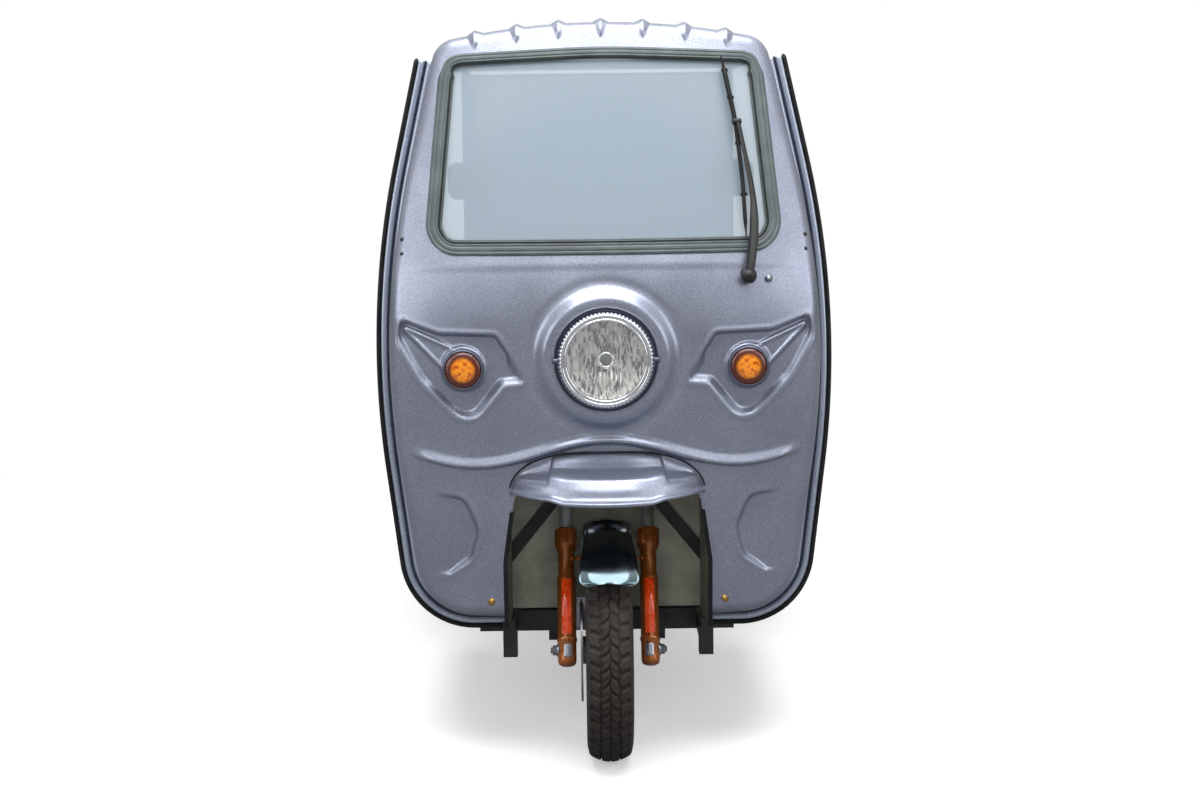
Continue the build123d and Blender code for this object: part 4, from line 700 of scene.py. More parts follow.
def pocket_depth(p):
    """The shallow D-shaped pocket low on each side: deepest along its curved inner edge and
    fading out towards the side of the cab."""
    inside, _ = nearest(p, rounded(POCKET, POCKET_RADII, 3.0))
    fade = 1 - smooth(p[:, 0], 330, 402)
    return (-14 * smooth(inside, -3, 8) + 2.6 * np.exp(-((inside + 7) / 5) ** 2)) * fade


def flare_height(x, z):
    """The raised seat round the headlamp: a flat ring with a rounded outer edge in a soft
    dished surround, its inner side falling to the lamp's hole."""
    ring = np.hypot(x, z - LAMP_Z)
    seat = 17 * smooth(-ring, -162, -133) * smooth(ring, 110, 115)
    inner = -2 * smooth(-ring, -128, -113) - 14 * smooth(-ring, -115, -110)
    return seat + inner - 2.0 * np.exp(-((ring - 170) / 10) ** 2)


def ledge_height(x, z):
    """A soft crease under the windscreen, a little proud above it."""
    line = 1143 - 0.00004 * x ** 2
    fade = (1 - smooth(z, 1180, 1260)) * (1 - smooth(np.abs(x), 400, 470))
    return 1.8 * smooth(z, line - 9, line + 9) * fade


def panel_station(x, z, inward, away):
    """Station of the finished panel: the rounded face less what is pressed out of it."""
    base = edge_station(x, z, inward, away)
    proud = (swage_height(x, z) + pressed(x, z, FIN_REACH, fin_depth)
             + pressed(x, z, POCKET_REACH, pocket_depth) + flare_height(x, z) + ledge_height(x, z))
    return base - proud * smooth(inward, 8, 26)


def weave(grid, flip=False):
    """Points and quads of a grid of rows and columns."""
    rows, columns = grid.shape[:2]
    index = np.arange(rows * columns).reshape(rows, columns)
    quads = np.stack((index[:-1, :-1], index[:-1, 1:], index[1:, 1:], index[1:, :-1]), -1)
    quads = quads.reshape(-1, 4)
    return grid.reshape(-1, grid.shape[2]), quads[:, ::-1] if flip else quads


def merge(patches):
    """Several sets of points and quads as one."""
    offsets = np.cumsum([0] + [len(points) for points, _ in patches[:-1]])
    points = np.vstack([points for points, _ in patches])
    quads = np.vstack([quads + offset for (_, quads), offset in zip(patches, offsets)])
    return points, quads


def make_piece(name, patches, finish, rides="vehicle", replaces=()):
    """A mesh object from patches in millimetres of x, station and z, welded at its seams."""
    points, quads = merge(patches)
    points = points * MM
    points[:, 1] += AXLE_Y
    mesh = bpy.data.meshes.new(name)
    mesh.vertices.add(len(points))
    mesh.vertices.foreach_set("co", points.astype(np.float32).ravel())
    mesh.loops.add(quads.size)
    mesh.loops.foreach_set("vertex_index", quads.astype(np.int32).ravel())
    mesh.polygons.add(len(quads))
    mesh.polygons.foreach_set("loop_start", np.arange(0, quads.size, 4, dtype=np.int32))
    mesh.update(calc_edges=True)
    work = bmesh.new()
    work.from_mesh(mesh)
    bmesh.ops.remove_doubles(work, verts=work.verts, dist=WELD * MM)
    work.to_mesh(mesh)
    work.free()
    mesh.polygons.foreach_set("use_smooth", np.full(len(mesh.polygons), True))
    mesh.materials.append(FINISH[finish])
    item = bpy.data.objects.new(name, mesh)
    bpy.context.scene.collection.objects.link(item)
    if replaces:
        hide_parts(*replaces)
    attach(item, rides)
    return item


def turned(profile, centre, steps=96, axis="s"):
    """A surface of revolution about the stations' axis or about X: pairs of radius and place
    along the axis, carried round it."""
    profile = np.asarray(profile, float)
    angles = np.linspace(0, 2 * np.pi, steps + 1)
    place = np.broadcast_to(profile[:, 1:], (len(profile), steps + 1))
    one, two = profile[:, :1] * np.cos(angles), profile[:, :1] * np.sin(angles)
    first, second = (one, place) if axis == "s" else (place, one)
    return np.stack((centre[0] + first, centre[1] + second, centre[2] + two), -1)


def tube(path, radius, sides=12, flat=1.0, up=(0, 0, 1)):
    """A round or oval section carried along a path, square to it, with closed ends."""
    path = np.asarray(path, float)
    along = unit(np.gradient(path, axis=0))
    side = unit(np.cross(along, np.asarray(up, float)))
    over = np.cross(side, along)
    radius = np.broadcast_to(radius, (len(path),)).astype(float)
    radius = np.concatenate(([0], radius, [0]))
    rows = np.concatenate(([0], np.arange(len(path)), [len(path) - 1]))
    angles = np.linspace(0, 2 * np.pi, sides + 1)
    ring = (np.cos(angles)[None, :, None] * side[rows][:, None]
            + flat * np.sin(angles)[None, :, None] * over[rows][:, None])
    return path[rows][:, None] + radius[:, None, None] * ring


def rim_station(z):
    """Station of the leaning plane that the cab front ends on."""
    return RIM_STATION + (z - RIM_BASE_Z) * RIM_LEAN


def outwards(line):
    """Directions square to a line, away from the cab's middle."""
    along = unit(np.gradient(line, axis=0))
    return np.column_stack((along[:, 1], -along[:, 0]))


def side_run(top_z=ROOF_SPLIT_Z):
    """The right half of the outline from the wheel arch round to a height, with its outward
    directions."""
    line = cab_outline()
    line = line[line[:, 0] > 0]
    line = line[np.argsort(np.arctan2(line[:, 0], -(line[:, 1] - 900)))]
    keep = (line[:, 1] < top_z) & ((line[:, 0] > ARCH_POINTS[1][0]) | (line[:, 1] > 400))
    line = line[keep]
    first = np.array((ARCH_POINTS[1][0], line[0, 1]))
    last_x = np.interp(top_z, *cab_outline_side().T)
    line = evenly(np.vstack((first, line, (last_x, top_z))), RUN_STEP)
    return line, outwards(line)


def cab_outline_side():
    """Heights and half widths of the outline's upper side, for reading a width at a height."""
    line = cab_outline()
    line = line[(line[:, 0] > 300) & (line[:, 1] > 1100)]
    line = line[np.argsort(line[:, 1])]
    return line[:, ::-1]


def mirror_patch(patch):
    """A patch with its mirror image across the middle, turned to face outwards too."""
    points, quads = patch
    return merge([patch, (points * (-1, 1, 1), quads[:, ::-1])])


def screen_outline(step):
    """The windscreen's opening seen from the front."""
    return rounded(both_sides(SCREEN_POINTS), SCREEN_RADII + SCREEN_RADII[:0:-1], step)


def trimmed_face():
    """The panel's face as a height field on a grid of x and z. Grid points just past an opening
    are moved to its edge, and cells with no point kept are left out. Along the outline the face
    runs on a little way, just behind its rounded edge."""
    xs = np.arange(-520, 520.1, FACE_CELL)
    zs = np.arange(330, CROWN[1] + 0.1, FACE_CELL)
    grid = np.stack(np.meshgrid(xs, zs), -1)
    points = grid.reshape(-1, 2)
    outline_gap, outline_foot = nearest(points, cab_outline())
    under = BAND_WIDTH - 9
    toward = unit(points - outline_foot) * np.sign(outline_gap)[:, None]
    gaps = [outline_gap - under]
    feet = [outline_foot + toward * under]
    arch = rounded(both_sides(ARCH_POINTS), ARCH_RADII + ARCH_RADII[::-1], 4.0)
    screen = screen_outline(4.0)
    turn = np.linspace(0, 2 * np.pi, 121)
    lamp = np.column_stack((LAMP_HOLE * np.cos(turn), LAMP_Z + LAMP_HOLE * np.sin(turn)))
    for hole, grow in ((arch, 0.0), (screen, -SEAL_LIP), (lamp, 0.0)):
        gap, foot = nearest(points, hole)
        out = unit(points - foot) * -np.sign(gap)[:, None]
        gaps.append(-gap - grow)
        feet.append(foot + out * grow)
    gaps = np.array(gaps)
    worst = gaps.argmin(0)
    gap = gaps.min(0)
    move = (gap < 0.3 * FACE_CELL) & (gap > -2.2 * FACE_CELL)
    rows = np.flatnonzero(move)
    points = points.copy()
    points[rows] = np.array(feet)[worst[rows], rows]
    quads = weave(grid)[1]
    good = (gap > -2.2 * FACE_CELL)[quads].all(1) & (gap > 0)[quads].any(1)
    quads = quads[good]
    inward, foot = nearest(points, cab_outline())
    station = panel_station(points[:, 0], points[:, 1], inward, unit(foot - points))
    station = station + 0.15 * smooth(-inward, -BAND_WIDTH, 4 - BAND_WIDTH)
    full = np.column_stack((points[:, 0], station, points[:, 1]))
    used = np.unique(quads)
    renumber = np.zeros(len(full), int)
    renumber[used] = np.arange(len(used))
    return full[used], renumber[quads]


def beside(line, out, across, scale=1.0):
    """Rows of x and of z at distances outwards from each point of a line."""
    return np.moveaxis(line[:, None] + out[:, None] * across[None, :, None] * scale, -1, 0)


def rounded_rows(line, out):
    """The face beside a stretch of the outline: rows along it, columns from the inside out."""
    x, z = beside(line, out, -BAND_STEPS)
    away = np.repeat(out[:, None], len(BAND_STEPS), 1).reshape(-1, 2)
    depths = np.broadcast_to(BAND_STEPS[None], x.shape).ravel()
    station = panel_station(x.ravel(), z.ravel(), depths, away).reshape(x.shape)
    return np.stack((x, station, z), -1)


def outward(grid):
    """Unit normals of a grid, from the cross product of its two directions."""
    return unit(np.cross(np.gradient(grid, axis=1), np.gradient(grid, axis=0)))


def roof_line():
    """The outline above the roof's lower edge, from right to left, with outward directions."""
    line = cab_outline()
    line = line[line[:, 1] > ROOF_SPLIT_Z]
    line = line[np.argsort(-line[:, 0])]
    edge = np.interp(ROOF_SPLIT_Z, *cab_outline_side().T)
    line = evenly(np.vstack(((edge, ROOF_SPLIT_Z), line, (-edge, ROOF_SPLIT_Z))), 2.0)
    return line, outwards(line)


def lining(wall, out):
    """The inner side of a wall, one sheet's thickness in and in reverse order."""
    return wall[:, ::-1] - np.insert(out, 1, 0, axis=1)[:, None] * SKIN


def roof_skin():
    """The roof: the rounded brow carried back level. Each rib is a ridge of two flat slopes on
    it, whose height grows over the rounding, so that it starts in a pointed facet."""
    line, out = roof_line()
    face = rounded_rows(line, out)
    stretch = np.concatenate((np.linspace(0, 60, 7)[1:], np.linspace(60, 1000, 9)[1:]))
    start = face[:, -1:, 1]
    back = start + (ROOF_REAR - start) * stretch / 1000
    wall = np.stack(np.broadcast_arrays(line[:, :1], back, line[:, 1:]), -1)
    skin = np.concatenate((face, wall), 1)
    most = (RIB_COUNT - 1) / 2
    middle = RIB_PITCH * np.clip(np.round(skin[..., 0] / RIB_PITCH), -most, most)
    aside = np.abs(skin[..., 0] - middle)
    grow = np.concatenate((BAND_STEPS, np.full(len(stretch), -2.0)))
    share = np.clip((35 - grow) / 35, 0, 1) ** 0.8
    rise = np.maximum(RIB_RISE * share[None] - aside * RIB_RISE / RIB_HALF, 0)
    skin = skin + outward(skin) * rise[..., None]
    return np.concatenate((skin, lining(wall, out)), 1)


def edge_band():
    """The panel's rounded edge and side wall: rows along the outline, columns from the face
    over the rounding and back to the rim."""
    line, out = side_run()
    face = rounded_rows(line, out)
    share = np.linspace(0, 1, 7)[1:]
    rim = rim_station(line[:, 1])[:, None]
    wall = np.stack((
        np.repeat(line[:, :1], 6, 1), face[:, -1:, 1] * (1 - share) + rim * share,
        np.repeat(line[:, 1:], 6, 1)), -1)
    return np.concatenate((face, wall, lining(wall, out)), 1)


def outline_sweep(profile, top_z):
    """A profile carried along the rim: pairs of outward distance from the outline and distance
    ahead of the rim plane, with a rounded upper end."""
    profile = np.asarray(profile, float)
    line, out = side_run(top_z)
    middle = profile.mean(0)
    share = np.ones(len(line))
    tip = np.linspace(0, 1, 5)
    rows = np.concatenate((np.arange(len(line)), np.full(5, len(line) - 1)))
    share = np.concatenate((share, np.sqrt(1 - tip ** 2)))
    rise = np.concatenate((np.zeros(len(line)), tip * 12))
    size = middle + (profile - middle) * share[:, None, None]
    place = line[rows][:, None] + out[rows][:, None] * size[..., :1]
    lift = np.stack((-out[rows][:, 1], out[rows][:, 0]), -1)[:, None] * rise[:, None, None]
    place = place + lift
    station = rim_station(place[..., 1]) - size[..., 1]
    grid = np.stack((place[..., 0], station, place[..., 1]), -1)
    foot = grid[:1] * 0 + grid[0].mean(0)
    return np.concatenate((foot, grid), 0)


class TRICYCLE_OT_finishes(bpy.types.Operator):
    """Makes the finishes and gives each CAD node its own"""

    bl_idname = "tricycle.finishes"
    bl_label = "Finishes"

    def execute(self, context):
        FINISH.update(make_finishes())
        for part in frame["record"]["subparts"]:
            piece = frame["nodes"][part["node"]]
            piece.data.materials.clear()
            finish = NODE_FINISH.get(part["node"], part["material_slot"])
            piece.data.materials.append(FINISH[finish])
        return {"FINISHED"}


class TRICYCLE_OT_front(bpy.types.Operator):
    """Presses the cab front's panel out of one swept face"""

    bl_idname = "tricycle.front"
    bl_label = "Cab front panel"

    def execute(self, context):
        band = mirror_patch(weave(edge_band()))
        make_piece("front_shell", [trimmed_face(), band], "body_paint", replaces=("front_panel",))
        make_piece("roof_skin", [weave(roof_skin())], "body_paint", replaces=("roof",))
        return {"FINISHED"}


class TRICYCLE_OT_seal(bpy.types.Operator):
    """Sets the curved windscreen and lays its grooved rubber round the opening"""

    bl_idname = "tricycle.seal"
    bl_label = "Windscreen rubber"

    def execute(self, context):
        line = screen_outline(5.0)
        along = np.roll(line[:-1], -1, 0) - np.roll(line[:-1], 1, 0)
        along = unit(np.vstack((along, along[:1])))
        out = np.column_stack((along[:, 1], -along[:, 0]))
        if (out[0] * (line[0] - SCREEN_MIDDLE)).sum() < 0:
            out = -out
        top = smooth(out[:, 1], 0.5, 0.9)
        grow = SEAL_GROW[0] * top + SEAL_GROW[1] * smooth(np.abs(out[:, 0]), 0.5, 0.9)
        line = line + out * (SEAL_RAISE * top)[:, None]
        scale = (SEAL_WIDTH + grow)[:, None, None] / SEAL_WIDTH
        across, height = self.section()
        rubber = on_face(*beside(line, out, across, scale), height)
        make_piece("screen_rubber", [weave(rubber)], "seal_rubber", replaces=("windscreen_seal",))
        across = np.linspace(*STRIP, 9)
        lift = 5.0 + 2.0 * np.sqrt(np.clip(1 - ((across + 28.4) / 1.9) ** 2, 0, 1))
        strip = on_face(*beside(line, out, across, scale), lift)
        make_piece("screen_locking_strip", [weave(strip)], "rubber")
        spokes = line - out * PANE_IN - SCREEN_MIDDLE
        share = np.linspace(0, 1, 12)
        front = on_face(*np.moveaxis(SCREEN_MIDDLE + spokes[:, None] * share[None, :, None], -1, 0), -SKIN)
        pane = np.concatenate((front, front[:, ::-1] + (0, GLASS_THICK, 0)), 1)
        make_piece("screen_pane", [weave(pane, True)], "screen_glass", replaces=("windscreen",))
        return {"FINISHED"}

    def section(self):
        """The rubber's section from its outer edge to the glass: distances and heights."""
        across = np.linspace(0, -SEAL_WIDTH, 42)
        crown = SEAL_PROUD * np.sqrt(np.clip(1 - ((across + 15) / 16.5) ** 4, 0, 1))
        grooves = sum(np.exp(-((across + place) / 1.7) ** 2) for place in SEAL_GROOVES)
        height = crown - 1.6 * grooves - 2.5 * np.exp(-((across + 27) / 1.6) ** 2)
        height[0] = -1.5
        height[-3:] = (1.2, -2.0, -SKIN - GLASS_THICK)
        across[-2:] = -SEAL_WIDTH
        return across, height


class TRICYCLE_OT_moulding(bpy.types.Operator):
    """Runs the bright two-bead moulding and the black rubber round the cab front"""

    bl_idname = "tricycle.moulding"
    bl_label = "Edge moulding"

    def execute(self, context):
        across = np.linspace(0.5, 35.5, 30)
        beads = sum(np.sqrt(np.clip(1 - ((across - place) / BEAD_HALF) ** 2, 0, 1)) for place in BEADS)
        ahead = 8.5 + 5.5 * beads - 1.5 * np.exp(-((across - 18) / 3.5) ** 2)
        profile = np.column_stack((across, ahead))
        profile = np.vstack(((0.5, 0), profile, (35.5, 0), (0.5, 0)))
        self.run(profile, 1595, "edge_moulding", "bright_moulding", ("front_moulding",))
        angles = np.linspace(0, 2 * np.pi, 21)
        inner = np.column_stack((18 + 5.2 * np.cos(angles), 9.4 + 1.0 * np.sin(angles)))
        self.run(inner[::-1], 1594, "moulding_insert", "insert_blue")
        edge = np.array((
            (36, -13), (36, 13), (38, 15), (42, 15.5), (45, 13), (46, 9), (46, -9), (44, -13), (36, -13)))
        self.run(evenly(edge, 2.5), 1596, "edge_rubber", "rubber", ("rubber_edge",))
        return {"FINISHED"}

    def run(self, profile, top_z, name, finish, replaces=()):
        """One section carried round both sides up to a height."""
        patch = mirror_patch(weave(outline_sweep(profile, top_z)))
        make_piece(name, [patch], finish, replaces=replaces)


class TRICYCLE_OT_lamp(bpy.types.Operator):
    """Makes the headlamp: notched chrome bezel, fluted reflector, bulb shield and clear lens"""

    bl_idname = "tricycle.lamp"
    bl_label = "Headlamp"

    def execute(self, context):
        centre = (0, LAMP_STATION, LAMP_Z)
        profile = np.array((
            (86, 14), (86.5, 4), (88, 1), (90, 0), (92, 0.6), (93, 3), (94, 3.4), (95, 1.5),
            (97, 0.4), (100, 0.6), (103, 3), (106, 8), (107, 14), (107, 40), (104, 42), (97, 42),
            (93, 20)))
        grid = turned(profile, centre, 288)
        angle = np.linspace(0, 2 * np.pi, 289)
        notch = (np.cos(angle * NOTCH_COUNT) > 0.1) * 1.0
        ring = smooth(profile[:, 0], 99, 106) * (profile[:, 1] < 20)
        shift = ring[:, None] * notch[None] * 3.6
        radial = np.stack((np.cos(angle), np.sin(angle)), -1)
        grid[..., 0] -= shift * radial[None, :, 0]
        grid[..., 2] -= shift * radial[None, :, 1]
        grid[..., 1] += shift * 0.8
        make_piece("lamp_bezel", [weave(grid)], "chrome", replaces=("headlamp_bezel",))
        gap = turned(((104, 44), (104, 36), (112.5, 36), (113, 44)), centre, 96)
        lugs = [self.lug(side) for side in (-1, 1)]
        make_piece("lamp_gap_ring", [weave(gap)] + lugs, "dark_lacquer")
        radius = np.linspace(88, 17, 30)
        depth = 14 + 62 * (1 - (radius / 88) ** 2)
        bowl = turned(np.column_stack((radius, depth)), centre, 240)
        flute = np.abs(((bowl[..., 0] / FLUTE_PITCH) % 1) - 0.5) * 2
        bowl[..., 1] -= 1.6 * flute * (smooth(radius, 20, 30) * smooth(-radius, -88, -82))[:, None]
        make_piece("lamp_reflector", [weave(bowl, True)], "reflector", replaces=("headlamp_bowl",))
        shield = turned((
            (9, 20), (12, 17), (15, 14), (17, 14), (19, 17), (19, 24), (18, 32), (14, 42), (14, 76)),
            centre, 60)
        make_piece("bulb_shield", [weave(shield)], "chrome")
        cap = turned(((0, 12), (5, 12), (9, 13.5), (10.5, 16), (10.5, 24), (0, 24)), centre, 48)
        make_piece("bulb_cap", [weave(cap)], "dark_plastic")
        radius = np.linspace(0, LENS_RADIUS, 26)
        front = 12 - 12 * np.sqrt(1 - (radius / 110) ** 2)
        place = np.concatenate((front - 1, np.linspace(front[-1] + 2, 7, 8)))
        radius = np.concatenate((radius, np.linspace(LENS_RADIUS, 0, 8)))
        lens = turned(np.column_stack((radius, place)), centre, 120)
        make_piece("lamp_lens", [weave(lens)], "lamp_glass", replaces=("headlamp_lens",))
        return {"FINISHED"}

    def lug(self, side):
        """A small block that holds the bezel at its side: a rounded bar out from the ring."""
        path = np.column_stack((side * np.linspace(100, 118, 5), np.full(5, LAMP_STATION + 14.0),
                                np.full(5, float(LAMP_Z))))
        return weave(tube(path, 6, 8))


class TRICYCLE_OT_indicators(bpy.types.Operator):
    """Makes the amber lenses with their inner facets and the ring about each"""

    bl_idname = "tricycle.indicators"
    bl_label = "Indicators"

    def execute(self, context):
        for side, name in ((-1, "left"), (1, "right")):
            centre = (side * INDICATOR_X, INDICATOR_STATION - 18, INDICATOR_Z)
            ring = turned((
                (40, 2), (40.5, -7), (41.5, -9), (44, -8), (46, -4), (47, 4), (47.5, 14), (48, 40),
                (20, 40)), centre, 96)
            make_piece(f"indicator_ring_{name}", [weave(ring)], "dark_lacquer",
                       replaces=("indicator_rims",) if side < 0 else ())
            radius = np.concatenate((np.linspace(0, 40, 32), (40.4,)))
            dome = -17 + 14 * (1 - np.sqrt(1 - (np.minimum(radius, 40) / 42) ** 2))
            dome[-1] = 2
            lens = turned(np.column_stack((radius, dome)), centre, 144)
            angle = np.linspace(0, 2 * np.pi, 145)
            ribs = 0.5 * np.abs(np.sin(angle * 18))[None] * smooth(radius, 29, 32)[:, None]
            lens[..., 1] -= ribs * smooth(-radius, -40, -39)[:, None]
            make_piece(f"indicator_lens_{name}", [weave(lens)], "amber_lens",
                       replaces=("indicator_lenses",) if side < 0 else ())
        return {"FINISHED"}


class TRICYCLE_OT_visor(bpy.types.Operator):
    """Shapes the hood over the front wheel, with its scooped ends and rolled lip"""

    bl_idname = "tricycle.visor"
    bl_label = "Wheel visor"

    def execute(self, context):
        half = VISOR_HALF
        u = np.sin(np.linspace(-np.pi / 2, np.pi / 2, 161))
        share = np.abs(u)
        top_x = half * u * 0.985
        top_z = VISOR_LOW + (VISOR_TOP - VISOR_LOW) * (1 - share ** 3.4) ** 0.62
        top = on_face(top_x, top_z, -SKIN)
        turn = np.pi / 2 * u * 0.93
        lip_x = half * np.sin(turn) / np.sin(np.pi / 2 * 0.93)
        lip_s = VISOR_AHEAD + (1 - np.cos(turn)) * VISOR_DEPTH
        dip = 1 - smooth(np.abs(lip_x), 92, 132)
        lip_z = VISOR_LOW - 4 * (1 - share ** 2) - 7 * dip - 8 * np.exp(-((share - 0.93) / 0.05) ** 2)
        lip = np.stack((lip_x, lip_s, lip_z), -1)
        v = np.linspace(0, 1, 48)
        ahead, drop = (relaxed(np.interp(v, VISOR_SECTION[0], row), 3) for row in VISOR_SECTION[1:])
        reach = (lip - top)[:, None]
        ways = np.stack((ahead, ahead, drop), -1)[None]
        hood = top[:, None] + reach * ways
        beyond = np.abs(hood[..., 0]) - (120 + 16 * v)[None]
        shape = np.sin(np.pi * np.clip(v * 1.3, 0, 1)) ** 0.6
        scoop = smooth(beyond, -2, 7) * (1 - smooth(beyond, 24, 84)) * shape[None]
        hood = hood - outward(hood) * 12.0 * scoop[..., None] * np.sign(-outward(hood)[80, 24, 1])
        roll = np.linspace(0, 1.5 * np.pi, 14)[1:]
        r = 5.5 - 1.5 * share[:, None]
        forward = np.stack((np.sin(turn), -np.cos(turn)), -1)
        lip_roll = np.stack((
            lip_x[:, None] + forward[:, :1] * r * np.sin(roll),
            lip_s[:, None] + forward[:, 1:] * r * np.sin(roll),
            lip_z[:, None] - r * (1 - np.cos(roll))), -1)
        inside = hood[:, ::-1] + (0, 2.5, -3.0)
        sheet = np.concatenate((hood, lip_roll, inside), 1)
        make_piece("visor_hood", [weave(sheet)], "body_paint", replaces=("visor",))
        # A thin black rubber tube along the hood's top joint: painted shadow, standing in for the dark gap
        # there.
        joint = top + (0, -5.5, 1.5)
        make_piece("visor_joint_shadow_tube", [weave(tube(joint, 1.8, 8, up=(0, 1, 0)))], "rubber")
        return {"FINISHED"}


class TRICYCLE_OT_wiper(bpy.types.Operator):
    """Lays the wiper on the glass: blade with its claws, bent arm and pivot cap"""

    bl_idname = "tricycle.wiper"
    bl_label = "Wiper"

    def execute(self, context):
        share = np.linspace(0, 1, 40)
        line = np.array(BLADE[::-1], float)
        z = BLADE[0][1] + (BLADE[-1][1] - BLADE[0][1]) * share
        x = relaxed(np.interp(z, line[:, 1], line[:, 0]), 6)
        taper = np.clip(np.minimum(share, 1 - share) * 12, 0.35, 1)
        rubber = tube(on_face(x, z, 8), 4.5 * taper, 10, 1.6)
        bow = 17 - 5 * np.abs(share - 0.36) * 2
        spine = tube(on_face(x, z, bow)[3:-3], 4.0 * taper[3:-3], 10, 0.8)
        row = np.linspace(-6, 6, 5)
        claws = [weave(tube(on_face(x[at] + row, np.full(5, z[at]), 9 + 3 * np.cos(row / 4)), 4.0, 8))
                 for at in (3, 9, 19, 30)]
        make_piece("wiper_blade", [weave(rubber), weave(spine)] + claws, "rubber")
        arm = np.array(WIPER_ARM, float)
        run = np.concatenate(([0], np.cumsum(np.linalg.norm(np.diff(arm[:, :2], axis=0), axis=1))))
        at = np.linspace(0, run[-1], 60)
        path = relaxed(np.column_stack([np.interp(at, run, column) for column in arm.T]), 40)
        width = np.interp(at, (0, 120, 170, run[-1]), (11, 10, 7, 5))
        arm = tube(on_face(*path.T), width, 12, 0.6)
        foot = on_face(*WIPER_ARM[0][:2])
        cap = turned((
            (0, -33), (8, -32), (13, -28), (15, -20), (16, -4), (19, -2), (20, 4), (0, 4)), foot, 40)
        clip = on_face(np.linspace(312, 294, 6), 1459.0, 18)
        make_piece("wiper_arm", [weave(arm), weave(cap), weave(tube(clip, 8, 10, 0.9))], "wiper_metal",
                   replaces=("wiper",))
        return {"FINISHED"}


class TRICYCLE_OT_fastenings(bpy.types.Operator):
    """Sets the screws and the washer nozzle on the panel"""

    bl_idname = "tricycle.fastenings"
    bl_label = "Fastenings"

    def execute(self, context):
        heads = {}
        for x, z, radius, finish in SCREWS:
            profile = radius * np.array((
                (0, -0.55), (0.12, -0.55), (0.2, -0.4), (0.6, -0.36), (0.9, -0.16), (1.0, 0.2),
                (1.5, 0.22), (1.5, 0.7)))
            for side in (-1, 1):
                head = turned(profile, on_face(side * x, z), 24)
                heads.setdefault(finish, []).append(weave(head))
        for finish, patches in heads.items():
            make_piece(f"panel_screws_{finish}", patches, finish)
        nozzle = turned((
            (0, -10), (3, -9.5), (6, -7), (7.5, -3), (9, -1), (10, 3), (0, 3)), on_face(*NOZZLE), 32)
        make_piece("washer_nozzle", [weave(nozzle)], "steel")
        return {"FINISHED"}


def tread_depth(angle, across):
    """How far the tread is cut at an angle round the tyre and a distance across it: a zigzag
    groove in the middle, one either side of the two centre rows, and slanted cuts that part
    the rows into blocks."""
    pitch = angle * TREAD_COUNT / (2 * np.pi)
    zigzag = np.abs((pitch % 1) - 0.5) * 4 - 1
    side = np.abs(across)
    shift = np.where(across > 0, 0.5, 0.0)

    def slit(place, wide, narrow):
        """A cut once in each pitch, from nothing at one distance to its full depth at another."""
        return smooth(-np.abs(place % 1 - 0.5), -wide, -narrow)

    middle = smooth(-np.abs(across - 2.0 * zigzag), -2.6, -1.4)
    flank = smooth(-np.abs(side - (20.5 + 2.2 * zigzag)), -3.2, -1.8)
    centre = slit(pitch + shift + side * 0.022, 0.13, 0.07) * (side < 21)
    outer = slit(pitch + shift + 0.25 - side * 0.012, 0.17, 0.10) * (side > 20)
    sipe = 0.35 * slit(pitch + shift + 0.5 + side * 0.022, 0.06, 0.03) * (side < 17) * (side > 5)
    return np.maximum.reduce(np.broadcast_arrays(middle, flank, centre, outer, sipe))


def round_axle(across, radius, angle, station=0):
    """Points about a wheel's axle, where the angle turns from straight ahead upwards."""
    return np.stack((across, station - radius * np.cos(angle), AXLE_Z + radius * np.sin(angle)), -1)


def tyre_patch(x, station, steps):
    """A tyre about an axle along X: its section is a crown arc and two bulging walls carried
    round, with the tread cut in. A wall's fine ribs show where a step of it falls on them."""
    half = TYRE_WIDTH / 2
    t = np.linspace(-1, 1, steps[0])
    crown_x = (half - 7) * t
    crown_r = TYRE_RADIUS - 14 * t ** 2
    w = np.linspace(0, 1, steps[1])[1:]
    wall_r = (TYRE_RADIUS - 14) * (1 - w) + (BEAD_RADIUS + 8) * w
    wall_x = (half - 7) * (1 - w) + 37 * w + 12.5 * np.sin(np.pi * w ** 0.9) * (1 - 0.15 * w)
    wall_x = wall_x + 0.8 * (np.abs(w - 0.3) < 0.025) + 1.0 * (np.abs(w - 0.88) < 0.03)
    across = np.concatenate((-wall_x[::-1], crown_x, wall_x))
    radius = np.concatenate((wall_r[::-1], crown_r, wall_r))
    angle = np.linspace(0, 2 * np.pi, TREAD_COUNT * steps[2] + 1)
    cut = tread_depth(angle[:, None], crown_x[None]) * TREAD_DEPTH * smooth(-np.abs(t), -1.0, -0.96)[None]
    shoulder = ((np.abs(((angle * TREAD_COUNT / (2 * np.pi)) % 1) - 0.5) < 0.3)[:, None]
                * (np.exp(-((w - 0.06) / 0.07) ** 2))[None])
    depth = np.concatenate((0 * shoulder, cut, 0 * shoulder), 1)
    bulge = np.concatenate((-shoulder[:, ::-1], 0 * cut, shoulder), 1) * 1.6
    return weave(round_axle(x + across[None] + bulge, radius[None] - depth, angle[:, None], station))


class TRICYCLE_OT_tyres(bpy.types.Operator):
    """Moulds the three tyres with their block tread"""

    bl_idname = "tricycle.tyres"
    bl_label = "Tyres"

    def execute(self, context):
        for name, body, x, station, steps in TYRES:
            patch = tyre_patch(x, station, steps)
            make_piece(f"{name}_tread", [patch], "tyre", rides=body, replaces=(name,))
        return {"FINISHED"}


def steered(points):
    """Points given across, along and ahead of the steering axis, as x, station and z."""
    rake = math.radians(RAKE)
    across, along, ahead = np.moveaxis(np.asarray(points, float), -1, 0)
    station = YOKE_OFFSET * math.cos(rake) + along * math.sin(rake) - ahead * math.cos(rake)
    z = AXLE_Z - YOKE_OFFSET * math.sin(rake) + along * math.cos(rake) + ahead * math.sin(rake)
    return np.stack((across, station, z), -1)


